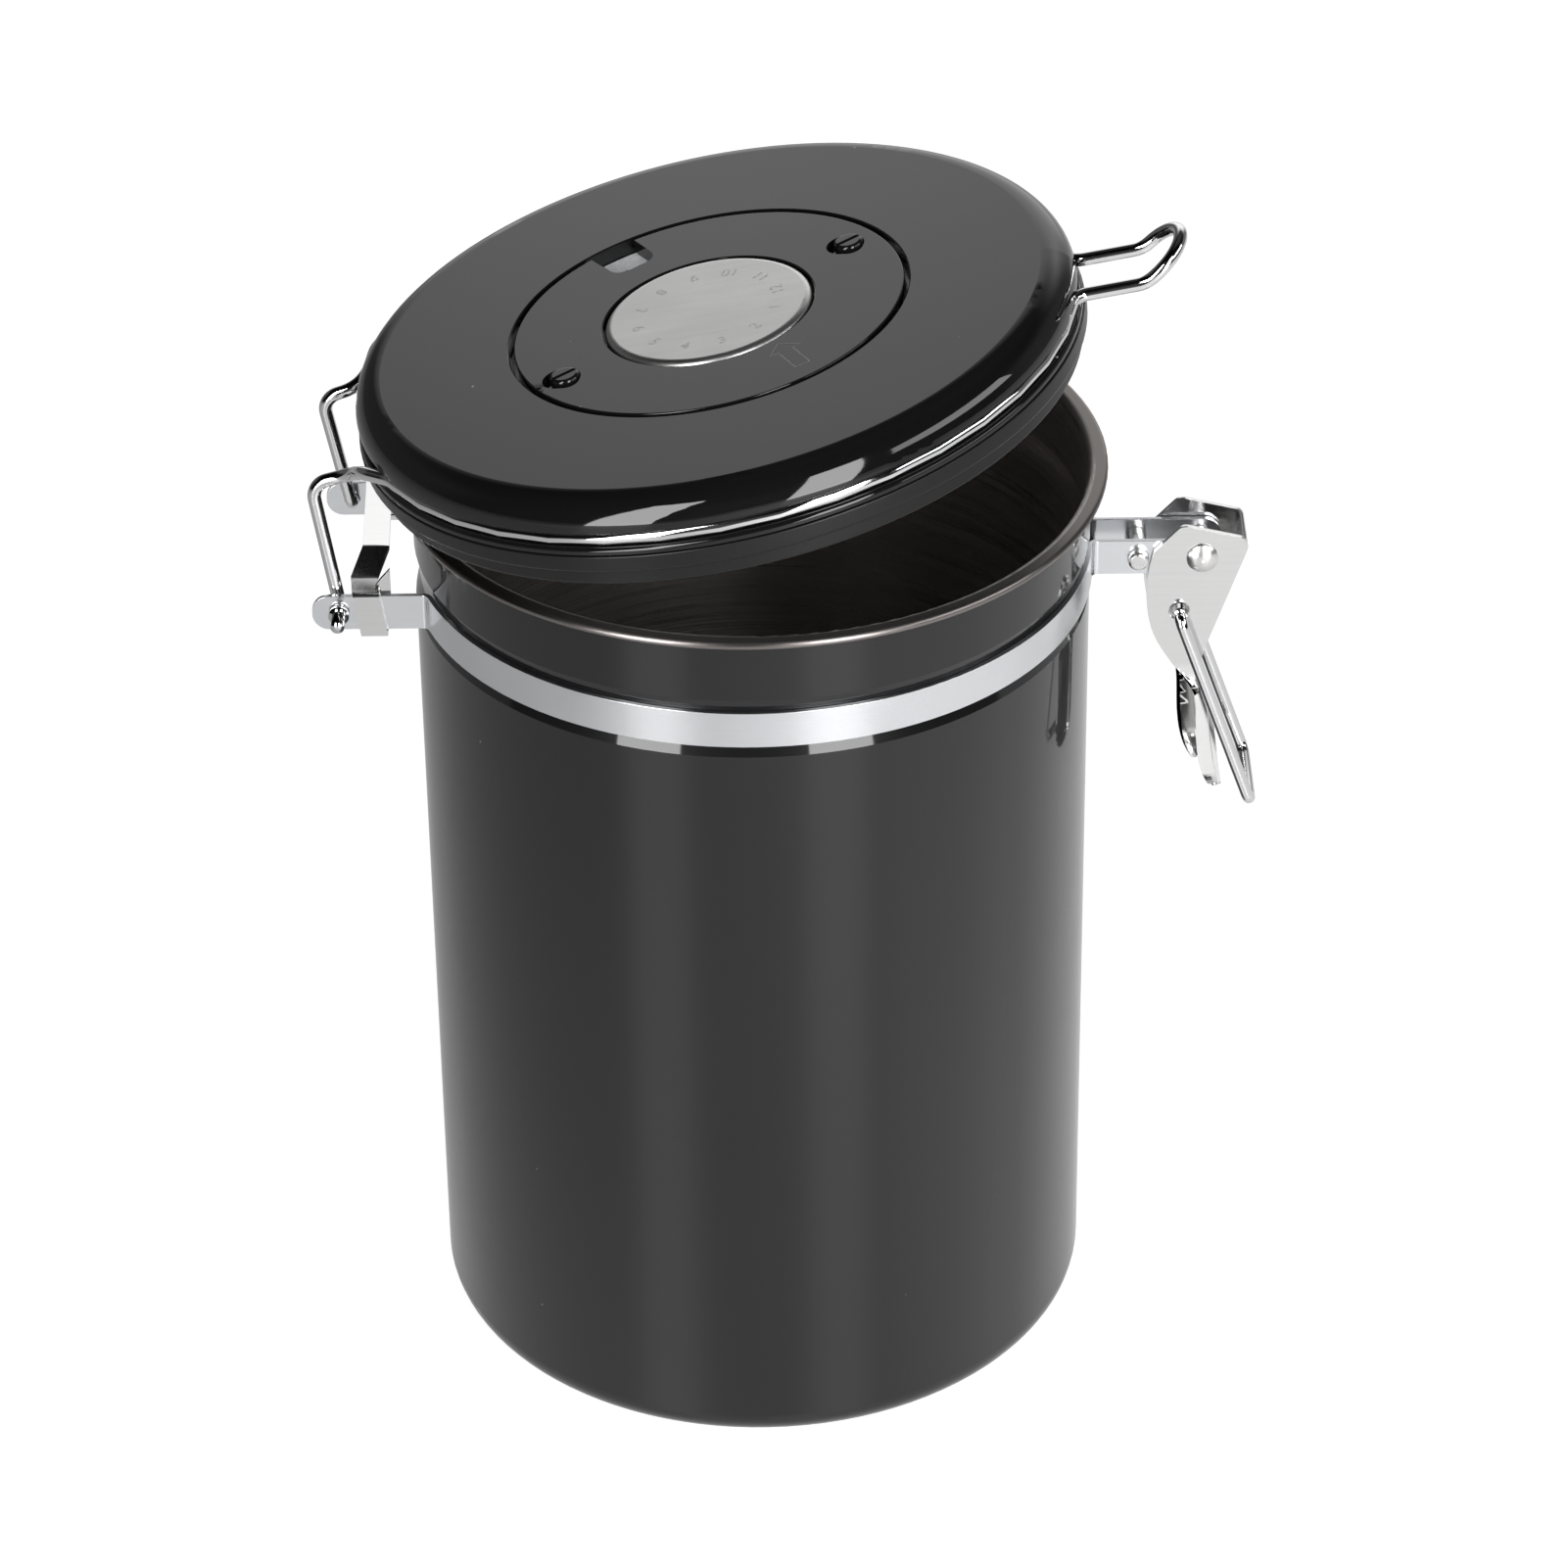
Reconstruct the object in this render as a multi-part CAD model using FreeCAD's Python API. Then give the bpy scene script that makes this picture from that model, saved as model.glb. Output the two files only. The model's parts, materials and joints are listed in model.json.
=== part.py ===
import FreeCAD, Part
import math
import os

# Coffee canister with a clip lid, a gas release valve and a date dial.
# Millimetres, +Z up, origin at the centre of the standing face.
# Hinge on -X, latch on +X. The lid is drawn shut and then swung ajar.

V = FreeCAD.Vector
UP = V(0, 0, 1)
ORIGIN = V(0, 0, 0)
os.makedirs("parts", exist_ok=True)

# Canister body
BODY_R = 60.0
BODY_WALL = 0.7
BODY_H = 173.0
FOOT_R = 5.5
FLOOR_RING_IN = 36.0
FLOOR_RING_OUT = 46.0
FLOOR_RING_UP = 1.2
FLOOR_SLOPE = 2.0
RIM_OUT = 2.9
RIM_T = 1.4
RIM_R = BODY_R + RIM_OUT
MOUTH_R = BODY_R - BODY_WALL

# Clamp band and the groove it sits in
BAND_T = 0.9
BAND_H = 6.7
BAND_DROP = 18.65
BAND_SEAT = 0.06
GROOVE_H = 11.3
GROOVE_DEPTH = 0.8
EAR_BEND = 1.2
EAR_ROUND = 3.0
EAR_MID = BODY_H - BAND_DROP
EAR_LOW = EAR_MID - BAND_H / 2.0
EAR_HIGH = EAR_MID + BAND_H / 2.0
GROOVE_R = ((GROOVE_H / 2.0) ** 2 + GROOVE_DEPTH ** 2) / (2 * GROOVE_DEPTH)
GROOVE_AT_EDGE = math.sqrt(GROOVE_R ** 2 - (BAND_H / 2.0) ** 2) - GROOVE_R + GROOVE_DEPTH
BAND_IN = BODY_R - GROOVE_AT_EDGE + BAND_SEAT
BAND_OUT = BAND_IN + BAND_T

# Hinge side
HINGE_REACH = 12.3
HINGE_EAR_END = 4.7
HINGE_GAP = 39.0
PIN_PLAY = 0.08
SHEET_GAP = 0.08
HINGE_X = -(BODY_R + HINGE_REACH)
HINGE_Z = EAR_MID
HINGE_TIP = HINGE_X - HINGE_EAR_END
HINGE_FACE = HINGE_GAP / 2.0 + BAND_T

# Hinge strap, placed from the hinge pin towards the body
STRAP_W = 4.7
STRAP_T = 0.9
STRAP_HOOK = 1.5
STRAP_HOOK_T = 0.8
STRAP_LEAN = 1.2
STRAP_END_IN = 4.9
STRAP_STEP_IN = 4.3
STRAP_MID_IN = 6.2
STRAP_STEP_OFF = 4.3
STRAP_MID_OFF = 14.5
STRAP_END_X = HINGE_X + STRAP_END_IN
STRAP_STEP_X = HINGE_X + STRAP_STEP_IN
STRAP_MID_X = HINGE_X + STRAP_MID_IN
STRAP_STEP_Y = STRAP_STEP_OFF - HINGE_GAP / 2.0
STRAP_MID_Y = STRAP_MID_OFF - HINGE_GAP / 2.0
STRAP_ROUND = 0.8
PRONG_W = 1.9
PRONG_DOWN = 4.2
PRONG_UP = 4.6
PRONG_SLANT = 2.2

# Latch side
LATCH_GAP = 6.8
RIVET_REACH = 19.7
RIVET_UP = 0.5
RIVET_R = 1.5
RIVET_HEAD_R = 2.9
RIVET_HEAD_H = 1.2
RIVET_GAP = 0.2
LATCH_EAR_END = 3.9
CLAMP_BACK = 11.3
CLAMP_R = 1.8
CLAMP_OUT = 1.9
CLAMP_BEVEL = 0.4
RIVET_X = BODY_R + RIVET_REACH
RIVET_Z = EAR_MID + RIVET_UP
LATCH_TIP = RIVET_X + LATCH_EAR_END
CLAMP_X = RIVET_X - CLAMP_BACK

# Latch lever, measured from its rivet
LEVER_T = 0.9
LEVER_PLAY = 0.3
LEVER_W = LATCH_GAP + 2 * (BAND_T + LEVER_PLAY + LEVER_T)
LEVER_TOP_IN = 3.6
LEVER_TOP_UP = 6.55
LEVER_HEEL_OUT = 8.7
LEVER_HEEL_UP = 3.55
LEVER_WAIST_OUT = 1.2
LEVER_WAIST_DOWN = 18.05
LEVER_TIP_OUT = 3.9
LEVER_TIP_DOWN = 50.85
LEVER_TOP = V(-LEVER_TOP_IN, 0, LEVER_TOP_UP)
LEVER_HEEL = V(LEVER_HEEL_OUT, 0, LEVER_HEEL_UP)
LEVER_WAIST = V(LEVER_WAIST_OUT, 0, -LEVER_WAIST_DOWN)
LEVER_TIP = V(LEVER_TIP_OUT, 0, -LEVER_TIP_DOWN)
LEVER_LIP = 1.1
LEVER_NECK_IN = 1.3
LEVER_NECK_DOWN = 7.9
LEVER_NECK_D = 2.7
LEVER_THUMB_IN = 0.6
LEVER_THUMB_DOWN = 17.0
LEVER_THUMB_D = 2.4
LEVER_TIP_FLARE = 0.35
LEVER_CHIN_IN = 9.1
LEVER_CHIN_UP = 1.4
LEVER_CHEEK_IN = 9.7
LEVER_CHEEK_DOWN = 6.5
LEVER_BROW_IN = 8.5
LEVER_BROW_UP = 1.3
LEVER_CORNER = 2.0
BAIL_BACK = 3.8
BAIL_BELOW = 10.9
BAIL_X = RIVET_X - BAIL_BACK
BAIL_Z = RIVET_Z - BAIL_BELOW

# Lid heights, measured down from its top
SEAL_GAP = 0.3
CAP_SKIRT = 5.5
WIRE_SLOT = 2.6
FLANGE_T = 1.4
GASKET_FIT = 0.1
GASKET_UPPER = 3.2
GASKET_LOWER = 3.1
FLANGE_TOP = CAP_SKIRT + WIRE_SLOT
FLANGE_LOW = FLANGE_TOP + FLANGE_T
GASKET_STEP = FLANGE_LOW + GASKET_FIT + GASKET_UPPER
GASKET_LOW = GASKET_STEP + GASKET_LOWER
LID_TOP = BODY_H + SEAL_GAP + GASKET_LOW
LID_SHIFT = 1.0
LID_AJAR = 11.0

# Lid cap
LID_OUT = 1.1
CAP_R = RIM_R + LID_OUT
CAP_EDGE = 5.4
CAP_WALL = 2.0
RECESS_R = 35.8
RECESS_DEPTH = 3.3
RECESS_FLOOR = 1.6
RECESS_BEVEL = 0.4
COLLAR_OUT = 15.0
COLLAR_WALL = 1.8
COLLAR_TOP = 1.75
STEM_HOLE = 3.5
CAP_VENT_R = 1.5
CAP_VENT_AT = 8.6
CAP_VENTS = 4

# Lid base and inner plate
FLANGE_OUT = 0.4
FLANGE_R = CAP_R + FLANGE_OUT
FLANGE_BEVEL = 0.5
NEST_PLAY = 0.2
NEST_LAP = 0.9
NEST_WALL = 1.9
SKIRT_GAP = 4.3
SKIRT_R = MOUTH_R - SKIRT_GAP
SKIRT_WALL = 2.0
LIP_OUT = 1.0
LIP_T = 0.9
LIP_GAP = 0.25
PLATE_FIT = 0.1
PLATE_T = 1.0

# Gasket
GASKET_OUT = 0.2
GASKET_STEP_IN = 1.3
GASKET_R = FLANGE_R + GASKET_OUT
GASKET_LOW_R = GASKET_R - GASKET_STEP_IN
GASKET_BORE_PLAY = 0.15
GASKET_RELIEF = 1.0
GASKET_RELIEF_IN = 0.3
GASKET_RELIEF_R = MOUTH_R - GASKET_RELIEF_IN
GASKET_BEVEL = 0.4

# Lid wire
WIRE_R = 1.2
WIRE_SINK = 1.0
WIRE_RING = CAP_R - WIRE_SINK
WIRE_LEVEL = LID_TOP - CAP_SKIRT - WIRE_SLOT / 2.0
WIRE_FOOT_IN = 2.0
WIRE_SPLAY = 2.2
WIRE_FOOT_Y = HINGE_GAP / 2.0 - WIRE_FOOT_IN
WIRE_LEG_Y = WIRE_FOOT_Y - WIRE_SPLAY
WIRE_LEAN = 0.5
WIRE_BEND_X = HINGE_X + WIRE_LEAN
WIRE_EXIT = 28.0
WIRE_EXIT_RUN = 2.5
WIRE_EXIT_BEND = 8.0
WIRE_CLEAR = 3.2
WIRE_KNEE = 20.4
WIRE_DIP = 4.6
WIRE_DIP_BEND = 5.0
WIRE_BEND = 3.4
WIRE_FOOT_BEND = 1.7
WIRE_END_OUT = 5.0
WIRE_TURN = 3.0
STOP_R = 1.8
STOP_L = 1.0
LOOP_Y = 6.4
LOOP_REACH = 11.6
LOOP_RISE = 34.0
LOOP_BEND = 5.0
LOOP_STRAIGHT = 0.6
LOOP_X = CAP_R + LOOP_REACH

# Latch bail, long enough to sit on the lid loop when the lid is shut
BAIL_R = 1.1
BAIL_GAP = 0.2
BAIL_LEAN = 19.4
BAIL_PIN_IN = 0.75
BAIL_BEND = 1.8
BAIL_CORNER = 2.2
HOOK_BACK = 1.3
HOOK_GAP = 0.1
BAIL_SIDE = LOOP_Y + WIRE_R + BAIL_GAP + BAIL_R
BAIL_PIN_END = LEVER_W / 2.0 - BAIL_PIN_IN
HOOK_X = BAIL_X - HOOK_BACK
HOOK_Z = WIRE_LEVEL + WIRE_R + BAIL_R + HOOK_GAP
BAIL_L = math.hypot(HOOK_X - BAIL_X, HOOK_Z - BAIL_Z)

# Date dial
DIAL_T = 0.4
DIAL_PLAY = 0.5
DIAL_HOLE_GAP = 1.2
DIAL_IN = COLLAR_OUT + DIAL_HOLE_GAP
RING_GAP = 1.7
RING_R = RECESS_R - RING_GAP
RING_LOW = 2.7
RING_FLANGE = 1.7
RING_PLAY = 0.08
RING_EDGE = 1.3
RING_BEVEL = 0.5
DISC_R = 18.5
DISC_GAP = 1.0
RING_HOLE = DISC_R + DISC_GAP
WINDOW_W = 8.6
WINDOW_DEPTH = 9.1
WINDOW_IN = RING_R - WINDOW_DEPTH
WINDOW_ROUND = 2.6
WINDOW_ANGLE = 121.0
PEG_INSET = 4.9
PEG_AT = RING_R - PEG_INSET
PEG_ANGLE = 31.0
PEG_R = 2.6
PEG_UP = 0.8
PEG_DOME = 0.6
PEG_STEM_R = 1.6
PEG_SLOT = 0.9
PEG_SLOT_DEPTH = 1.3
PEG_DISH_R = 3.4
PEG_DISH_OFF = 0.6
PEG_DISH = 1.2
PEG_FIT = 0.05
DISC_T = 0.6
DISC_PROUD = 0.3
DISC_EDGE = 1.4
DISC_DROP = 1.2
CARRIER_GAP = 0.2
CARRIER_R = DISC_R - DISC_T - CARRIER_GAP
CARRIER_LOW = 1.4
CARRIER_BEVEL = 0.6
STEM_PLAY = 0.08
CLIP_OUT = 0.7
CLIP_H = 0.6
CLIP_GAP = 0.25
CLIP_SLOT = 1.2

# Gas release valve
SEAT_R = 15.0
SEAT_FIT = 0.2
SEAT_RIM = 2.0
SEAT_RIM_T = 0.4
SEAT_DEPTH = 2.1
SEAT_PORTS = 8
SEAT_PORT_R = 1.4
SEAT_PORT_AT = 5.8
FLAP_R = 10.0
FLAP_T = 0.6
FLAP_DISH = 0.35
FLAP_GAP = 0.15
FLAP_LIFT = 0.9
FLAP_STEM_R = 1.5
FLAP_STEM_PLAY = 0.08
FLAP_BULB_R = 2.5
FLAP_BULB_H = 1.2
PLATE_HOLE = 16.0
GRILLE_LAP = 3.0
GRILLE_T = 1.2
GRILLE_WALL = 1.2
GRILLE_UP = 1.6
GRILLE_HOLE_R = 1.0
GRILLE_RINGS = 3
GRILLE_STEP = 4.2
GRILLE_BEVEL = 0.4


# Shared helpers

def at(r, z):
    return V(r, 0, z)


def lid(r, down):
    return V(r, 0, LID_TOP - down)


def polar(r, degrees, z):
    a = math.radians(degrees)
    return V(r * math.cos(a), r * math.sin(a), z)


def outline(start, steps):
    # A step is one point for a line or two points for an arc.
    edges = []
    here = start
    for step in steps:
        if len(step) == 1:
            edges.append(Part.LineSegment(here, step[0]).toShape())
        else:
            edges.append(Part.Arc(here, step[0], step[1]).toShape())
        here = step[-1]
    if (here - start).Length > 1e-7:
        edges.append(Part.LineSegment(here, start).toShape())
    return Part.Face(Part.Wire(edges))


def spun(start, steps):
    return outline(start, steps).revolve(ORIGIN, UP, 360)


def corner(centre, radius, degrees):
    a = math.radians(degrees)
    return V(centre.x + radius * math.cos(a), 0, centre.z + radius * math.sin(a))


def across(x, z, r, half):
    return Part.makeCylinder(r, 2 * half, V(x, -half, z), V(0, 1, 0))


def mirrored(shape):
    return shape.mirror(ORIGIN, V(0, 1, 0))


def ajar(shape):
    swung = shape.copy()
    swung.rotate(V(HINGE_X, 0, HINGE_Z), V(0, -1, 0), LID_AJAR)
    return swung


def on_lid(shape):
    # From the lid's own axis to its shut place over the mouth, then ajar.
    seated = shape.copy()
    seated.translate(V(LID_SHIFT, 0, 0))
    return ajar(seated)


def bent(points, radii):
    # Straight runs joined by round bends, one radius for each inner point.
    edges = []
    here = points[0]
    for i, radius in enumerate(radii):
        p = points[i + 1]
        a = (points[i] - p).normalize()
        b = (points[i + 2] - p).normalize()
        half = a.getAngle(b) / 2.0
        reach = radius / math.tan(half)
        middle = p + (a + b).normalize() * (radius / math.sin(half) - radius)
        edges.append(Part.LineSegment(here, p + a * reach).toShape())
        edges.append(Part.Arc(p + a * reach, middle, p + b * reach).toShape())
        here = p + b * reach
    edges.append(Part.LineSegment(here, points[-1]).toShape())
    return edges


def rod(edges, radius):
    # Round wire along straight runs and arcs that meet smoothly.
    runs = []
    for edge in edges:
        start = edge.valueAt(edge.FirstParameter)
        along = edge.tangentAt(edge.FirstParameter)
        end = Part.Face(Part.Wire(Part.makeCircle(radius, start, along)))
        if isinstance(edge.Curve, Part.Circle):
            turn = math.degrees(edge.LastParameter - edge.FirstParameter)
            runs.append(end.revolve(edge.Curve.Center, edge.Curve.Axis, turn))
        else:
            runs.append(end.extrude(along * edge.Length))
    return runs[0].fuse(runs[1:]).removeSplitter()


# Canister body

def canister_body():
    low = EAR_MID - GROOVE_H / 2.0
    high = EAR_MID + GROOVE_H / 2.0
    inner = MOUTH_R
    foot = at(BODY_R - FOOT_R, FOOT_R)
    round_r = RIM_T / 2.0
    lip = at(RIM_R - round_r, BODY_H - round_r)
    inside_lip = at(inner + RIM_T, BODY_H - RIM_T)
    ring_in = FLOOR_RING_IN + FLOOR_SLOPE
    ring_out = FLOOR_RING_OUT - FLOOR_SLOPE
    return spun(at(0, 0), [
        [at(FLOOR_RING_IN, 0)],
        [at(ring_in, FLOOR_RING_UP)],
        [at(ring_out, FLOOR_RING_UP)],
        [at(FLOOR_RING_OUT, 0)],
        [at(foot.x, 0)],
        [corner(foot, FOOT_R, -45), at(BODY_R, FOOT_R)],
        [at(BODY_R, low)],
        [at(BODY_R - GROOVE_DEPTH, EAR_MID), at(BODY_R, high)],
        [at(BODY_R, BODY_H - RIM_T)],
        [at(lip.x, BODY_H - RIM_T)],
        [corner(lip, round_r, 0), at(lip.x, BODY_H)],
        [at(inside_lip.x, BODY_H)],
        [corner(inside_lip, RIM_T, 135), at(inner, inside_lip.z)],
        [at(inner, high)],
        [at(inner - GROOVE_DEPTH, EAR_MID), at(inner, low)],
        [at(inner, FOOT_R)],
        [corner(foot, FOOT_R - BODY_WALL, -45), at(foot.x, BODY_WALL)],
        [at(FLOOR_RING_OUT, BODY_WALL)],
        [at(ring_out, FLOOR_RING_UP + BODY_WALL)],
        [at(ring_in, FLOOR_RING_UP + BODY_WALL)],
        [at(FLOOR_RING_IN, BODY_WALL)],
        [at(0, BODY_WALL)],
    ])


# Clamp bands

def ear_bend(side, inner_face):
    # Centre of the bend between the hoop and an ear on the front half.
    y = -(inner_face + BAND_T + EAR_BEND)
    x = side * math.sqrt((BAND_OUT + EAR_BEND) ** 2 - y ** 2)
    return V(x, y, EAR_LOW)


def bend_arc(centre, radius, first, last):
    u = (first - centre).normalize()
    w = (last - centre).normalize()
    return [centre + (u + w).normalize() * radius, last]


def front_band():
    hinge_y = -HINGE_GAP / 2.0
    latch_y = -LATCH_GAP / 2.0
    hinge = ear_bend(-1, -hinge_y)
    latch = ear_bend(1, -latch_y)
    hinge_turn = math.degrees(math.atan2(hinge.y, hinge.x))
    latch_turn = math.degrees(math.atan2(latch.y, latch.x))
    halfway = (hinge_turn + latch_turn) / 2.0
    wide = EAR_BEND + BAND_T
    hinge_out = polar(BAND_OUT, hinge_turn, EAR_LOW)
    hinge_in = polar(BAND_IN, hinge_turn, EAR_LOW)
    latch_out = polar(BAND_OUT, latch_turn, EAR_LOW)
    latch_in = polar(BAND_IN, latch_turn, EAR_LOW)
    hinge_face = V(hinge.x, hinge_y - BAND_T, EAR_LOW)
    latch_face = V(latch.x, latch_y - BAND_T, EAR_LOW)
    hinge_back = V(hinge.x, hinge_y, EAR_LOW)
    section = outline(V(HINGE_TIP, hinge_y - BAND_T, EAR_LOW), [
        [hinge_face],
        bend_arc(hinge, EAR_BEND, hinge_face, hinge_out),
        [polar(BAND_OUT, halfway, EAR_LOW), latch_out],
        bend_arc(latch, EAR_BEND, latch_out, latch_face),
        [V(LATCH_TIP, latch_y - BAND_T, EAR_LOW)],
        [V(LATCH_TIP, latch_y, EAR_LOW)],
        [V(latch.x, latch_y, EAR_LOW)],
        bend_arc(latch, wide, V(latch.x, latch_y, EAR_LOW), latch_in),
        [polar(BAND_IN, halfway, EAR_LOW), hinge_in],
        bend_arc(hinge, wide, hinge_in, hinge_back),
        [V(HINGE_TIP, hinge_y, EAR_LOW)],
    ])
    band = section.extrude(V(0, 0, BAND_H))
    tips = []
    for edge in band.Edges:
        a, b = edge.Vertexes[0].Point, edge.Vertexes[-1].Point
        flat = abs(a.z - b.z) < 1e-6 and abs(a.x - b.x) < 1e-6
        if flat and (abs(a.x - HINGE_TIP) < 1e-6 or abs(a.x - LATCH_TIP) < 1e-6):
            tips.append(edge)
    band = band.makeFillet(EAR_ROUND, tips)
    band = band.cut(across(HINGE_X, HINGE_Z, WIRE_R + PIN_PLAY, HINGE_GAP))
    band = band.cut(across(RIVET_X, RIVET_Z, RIVET_R + BAND_SEAT, LATCH_GAP))
    return band.cut(across(CLAMP_X, EAR_MID, CLAMP_R + BAND_SEAT, LATCH_GAP))


def rear_band():
    return mirrored(front_band())


# Hinge strap

def strap_tab(side):
    # Tab folded down the ear's outer face and hooked under its lower edge,
    # with a prong inside the ear that keeps the strap from sliding.
    face = HINGE_FACE + SHEET_GAP
    level = EAR_HIGH + SHEET_GAP
    top = level + STRAP_T
    low = EAR_LOW - SHEET_GAP - STRAP_HOOK_T
    left = STRAP_END_X - STRAP_W / 2.0
    right = STRAP_END_X + STRAP_W / 2.0
    tab = outline(V(left, face, top), [
        [V(right, face, top)],
        [V(right + STRAP_LEAN, face, low)],
        [V(left + STRAP_LEAN, face, low)],
    ]).extrude(V(0, STRAP_T, 0))
    hook = Part.makeBox(STRAP_W, STRAP_HOOK + STRAP_T, STRAP_HOOK_T,
                        V(left + STRAP_LEAN, face - STRAP_HOOK, low))
    inside = HINGE_GAP / 2.0 - SHEET_GAP - STRAP_T
    prong = outline(V(right - STRAP_T, inside, level - PRONG_DOWN), [
        [V(right + PRONG_W, inside, level - PRONG_DOWN)],
        [V(right + PRONG_W, inside, level + PRONG_UP)],
        [V(right, inside, level + PRONG_UP - PRONG_SLANT)],
        [V(right - STRAP_T, inside, top)],
    ]).extrude(V(0, STRAP_T, 0))
    piece = tab.fuse([hook, prong])
    return mirrored(piece) if side < 0 else piece


def hinge_strap():
    reach = HINGE_FACE + SHEET_GAP + STRAP_T
    level = EAR_HIGH + SHEET_GAP
    half = STRAP_W / 2.0
    line = [
        (STRAP_END_X, -reach),
        (STRAP_STEP_X, STRAP_STEP_Y),
        (STRAP_MID_X, STRAP_MID_Y),
        (STRAP_END_X, reach),
    ]
    left = [V(x - half, y, level) for x, y in line]
    right = [V(x + half, y, level) for x, y in reversed(line)]
    plate = outline(left[0], [[p] for p in left[1:] + right]).extrude(V(0, 0, STRAP_T))
    strap = plate.fuse([strap_tab(-1), strap_tab(1)]).removeSplitter()
    folds = []
    for edge in strap.Edges:
        a, b = edge.Vertexes[0].Point, edge.Vertexes[-1].Point
        high = abs(a.z - level - STRAP_T) < 1e-6 and abs(b.z - a.z) < 1e-6
        if high and abs(abs(a.y) - reach) < 1e-6 and abs(a.y - b.y) < 1e-6:
            folds.append(edge)
    return strap.makeFillet(STRAP_ROUND, folds)


# Latch

def clamp_pin():
    half = LATCH_GAP / 2.0 + BAND_T + CLAMP_OUT
    pin = across(CLAMP_X, EAR_MID, CLAMP_R, half)
    ends = [e for e in pin.Edges if e.Closed]
    return pin.makeChamfer(CLAMP_BEVEL, ends)


def rivet_head():
    # Shallow dome, drawn on +Z and later laid over to +Y.
    rise = RIVET_HEAD_H
    ball = (RIVET_HEAD_R ** 2 + rise ** 2) / (2 * rise)
    a = math.asin(RIVET_HEAD_R / ball) / 2.0
    crest = at(ball * math.sin(a), rise - ball + ball * math.cos(a))
    return spun(at(0, 0), [
        [at(RIVET_HEAD_R, 0)],
        [crest, at(0, rise)],
    ])


def latch_rivet():
    face = LEVER_W / 2.0 + RIVET_GAP
    shank = across(0, 0, RIVET_R, face)
    head = rivet_head()
    head.rotate(ORIGIN, V(1, 0, 0), -90)
    head.translate(V(0, face, 0))
    rivet = shank.fuse([head, mirrored(head)]).removeSplitter()
    rivet.translate(V(RIVET_X, 0, RIVET_Z))
    return rivet


def lever_back():
    # Outer side of the web, from the waist down to the thumb tip.
    sweep = Part.BSplineCurve()
    sweep.interpolate(
        [
            LEVER_WAIST,
            LEVER_WAIST - V(LEVER_NECK_IN, 0, LEVER_NECK_DOWN),
            LEVER_WAIST - V(LEVER_THUMB_IN, 0, LEVER_THUMB_DOWN),
            LEVER_TIP,
        ],
        InitialTangent=LEVER_WAIST - LEVER_HEEL,
        FinalTangent=V(LEVER_TIP_FLARE, 0, -1),
    )
    return sweep.toShape()


def lever_front():
    # Inner side: narrow lip along the thumb piece, then the bulging cheek.
    cheek = Part.BSplineCurve()
    cheek.interpolate([
        LEVER_TIP - V(LEVER_LIP, 0, 0),
        LEVER_WAIST - V(LEVER_THUMB_IN + LEVER_THUMB_D, 0, LEVER_THUMB_DOWN),
        LEVER_WAIST - V(LEVER_NECK_IN + LEVER_NECK_D, 0, LEVER_NECK_DOWN),
        LEVER_WAIST - V(LEVER_CHIN_IN, 0, -LEVER_CHIN_UP),
        V(-LEVER_CHEEK_IN, 0, -LEVER_CHEEK_DOWN),
        V(-LEVER_BROW_IN, 0, LEVER_BROW_UP),
    ])
    return cheek.toShape()


def lever_side():
    front = lever_front()
    brow = front.valueAt(front.LastParameter)
    return Part.Face(Part.Wire([
        Part.LineSegment(LEVER_HEEL, LEVER_WAIST).toShape(),
        lever_back(),
        Part.LineSegment(LEVER_TIP, LEVER_TIP - V(LEVER_LIP, 0, 0)).toShape(),
        front,
        Part.LineSegment(brow, LEVER_TOP).toShape(),
        Part.LineSegment(LEVER_TOP, LEVER_HEEL).toShape(),
    ]))


def lever_hollow():
    # Room between the cheeks, open towards the body and at the top.
    half = LEVER_W / 2.0 - LEVER_T
    side = lever_side()
    side.translate(V(-LEVER_T, -half, 0))
    room = side.extrude(V(0, 2 * half, 0))
    above = room.copy()
    above.translate(V(0, 0, LEVER_CORNER))
    inward = room.copy()
    inward.translate(V(-LEVER_CHEEK_IN, 0, 0))
    return [room, above, inward]


def latch_lever():
    half = LEVER_W / 2.0
    side = lever_side()
    side.translate(V(0, -half, 0))
    block = side.extrude(V(0, LEVER_W, 0))
    crests = []
    for edge in block.Edges:
        a, b = edge.Vertexes[0].Point, edge.Vertexes[-1].Point
        if abs(abs(a.y - b.y) - LEVER_W) < 1e-6 and a.z > LEVER_HEEL.z - 1e-6:
            crests.append(edge)
    lever = block.makeFillet(LEVER_CORNER, crests)
    for room in lever_hollow():
        lever = lever.cut(room)
    lever = max(lever.Solids, key=lambda s: s.Volume)
    reach = LEVER_HEEL.x + LEVER_CHEEK_IN
    tongue = outline(V(-reach, -half, LEVER_TIP.z + half), [
        [V(-reach, 0, LEVER_TIP.z), V(-reach, half, LEVER_TIP.z + half)],
        [V(-reach, half, LEVER_TOP.z + half)],
        [V(-reach, -half, LEVER_TOP.z + half)],
    ]).extrude(V(2 * reach, 0, 0))
    lever = lever.common(tongue)
    lever.translate(V(RIVET_X, 0, RIVET_Z))
    lever = lever.cut(across(RIVET_X, RIVET_Z, RIVET_R + PIN_PLAY, LEVER_W))
    return lever.cut(across(BAIL_X, BAIL_Z, BAIL_R + PIN_PLAY, LEVER_W))


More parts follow.
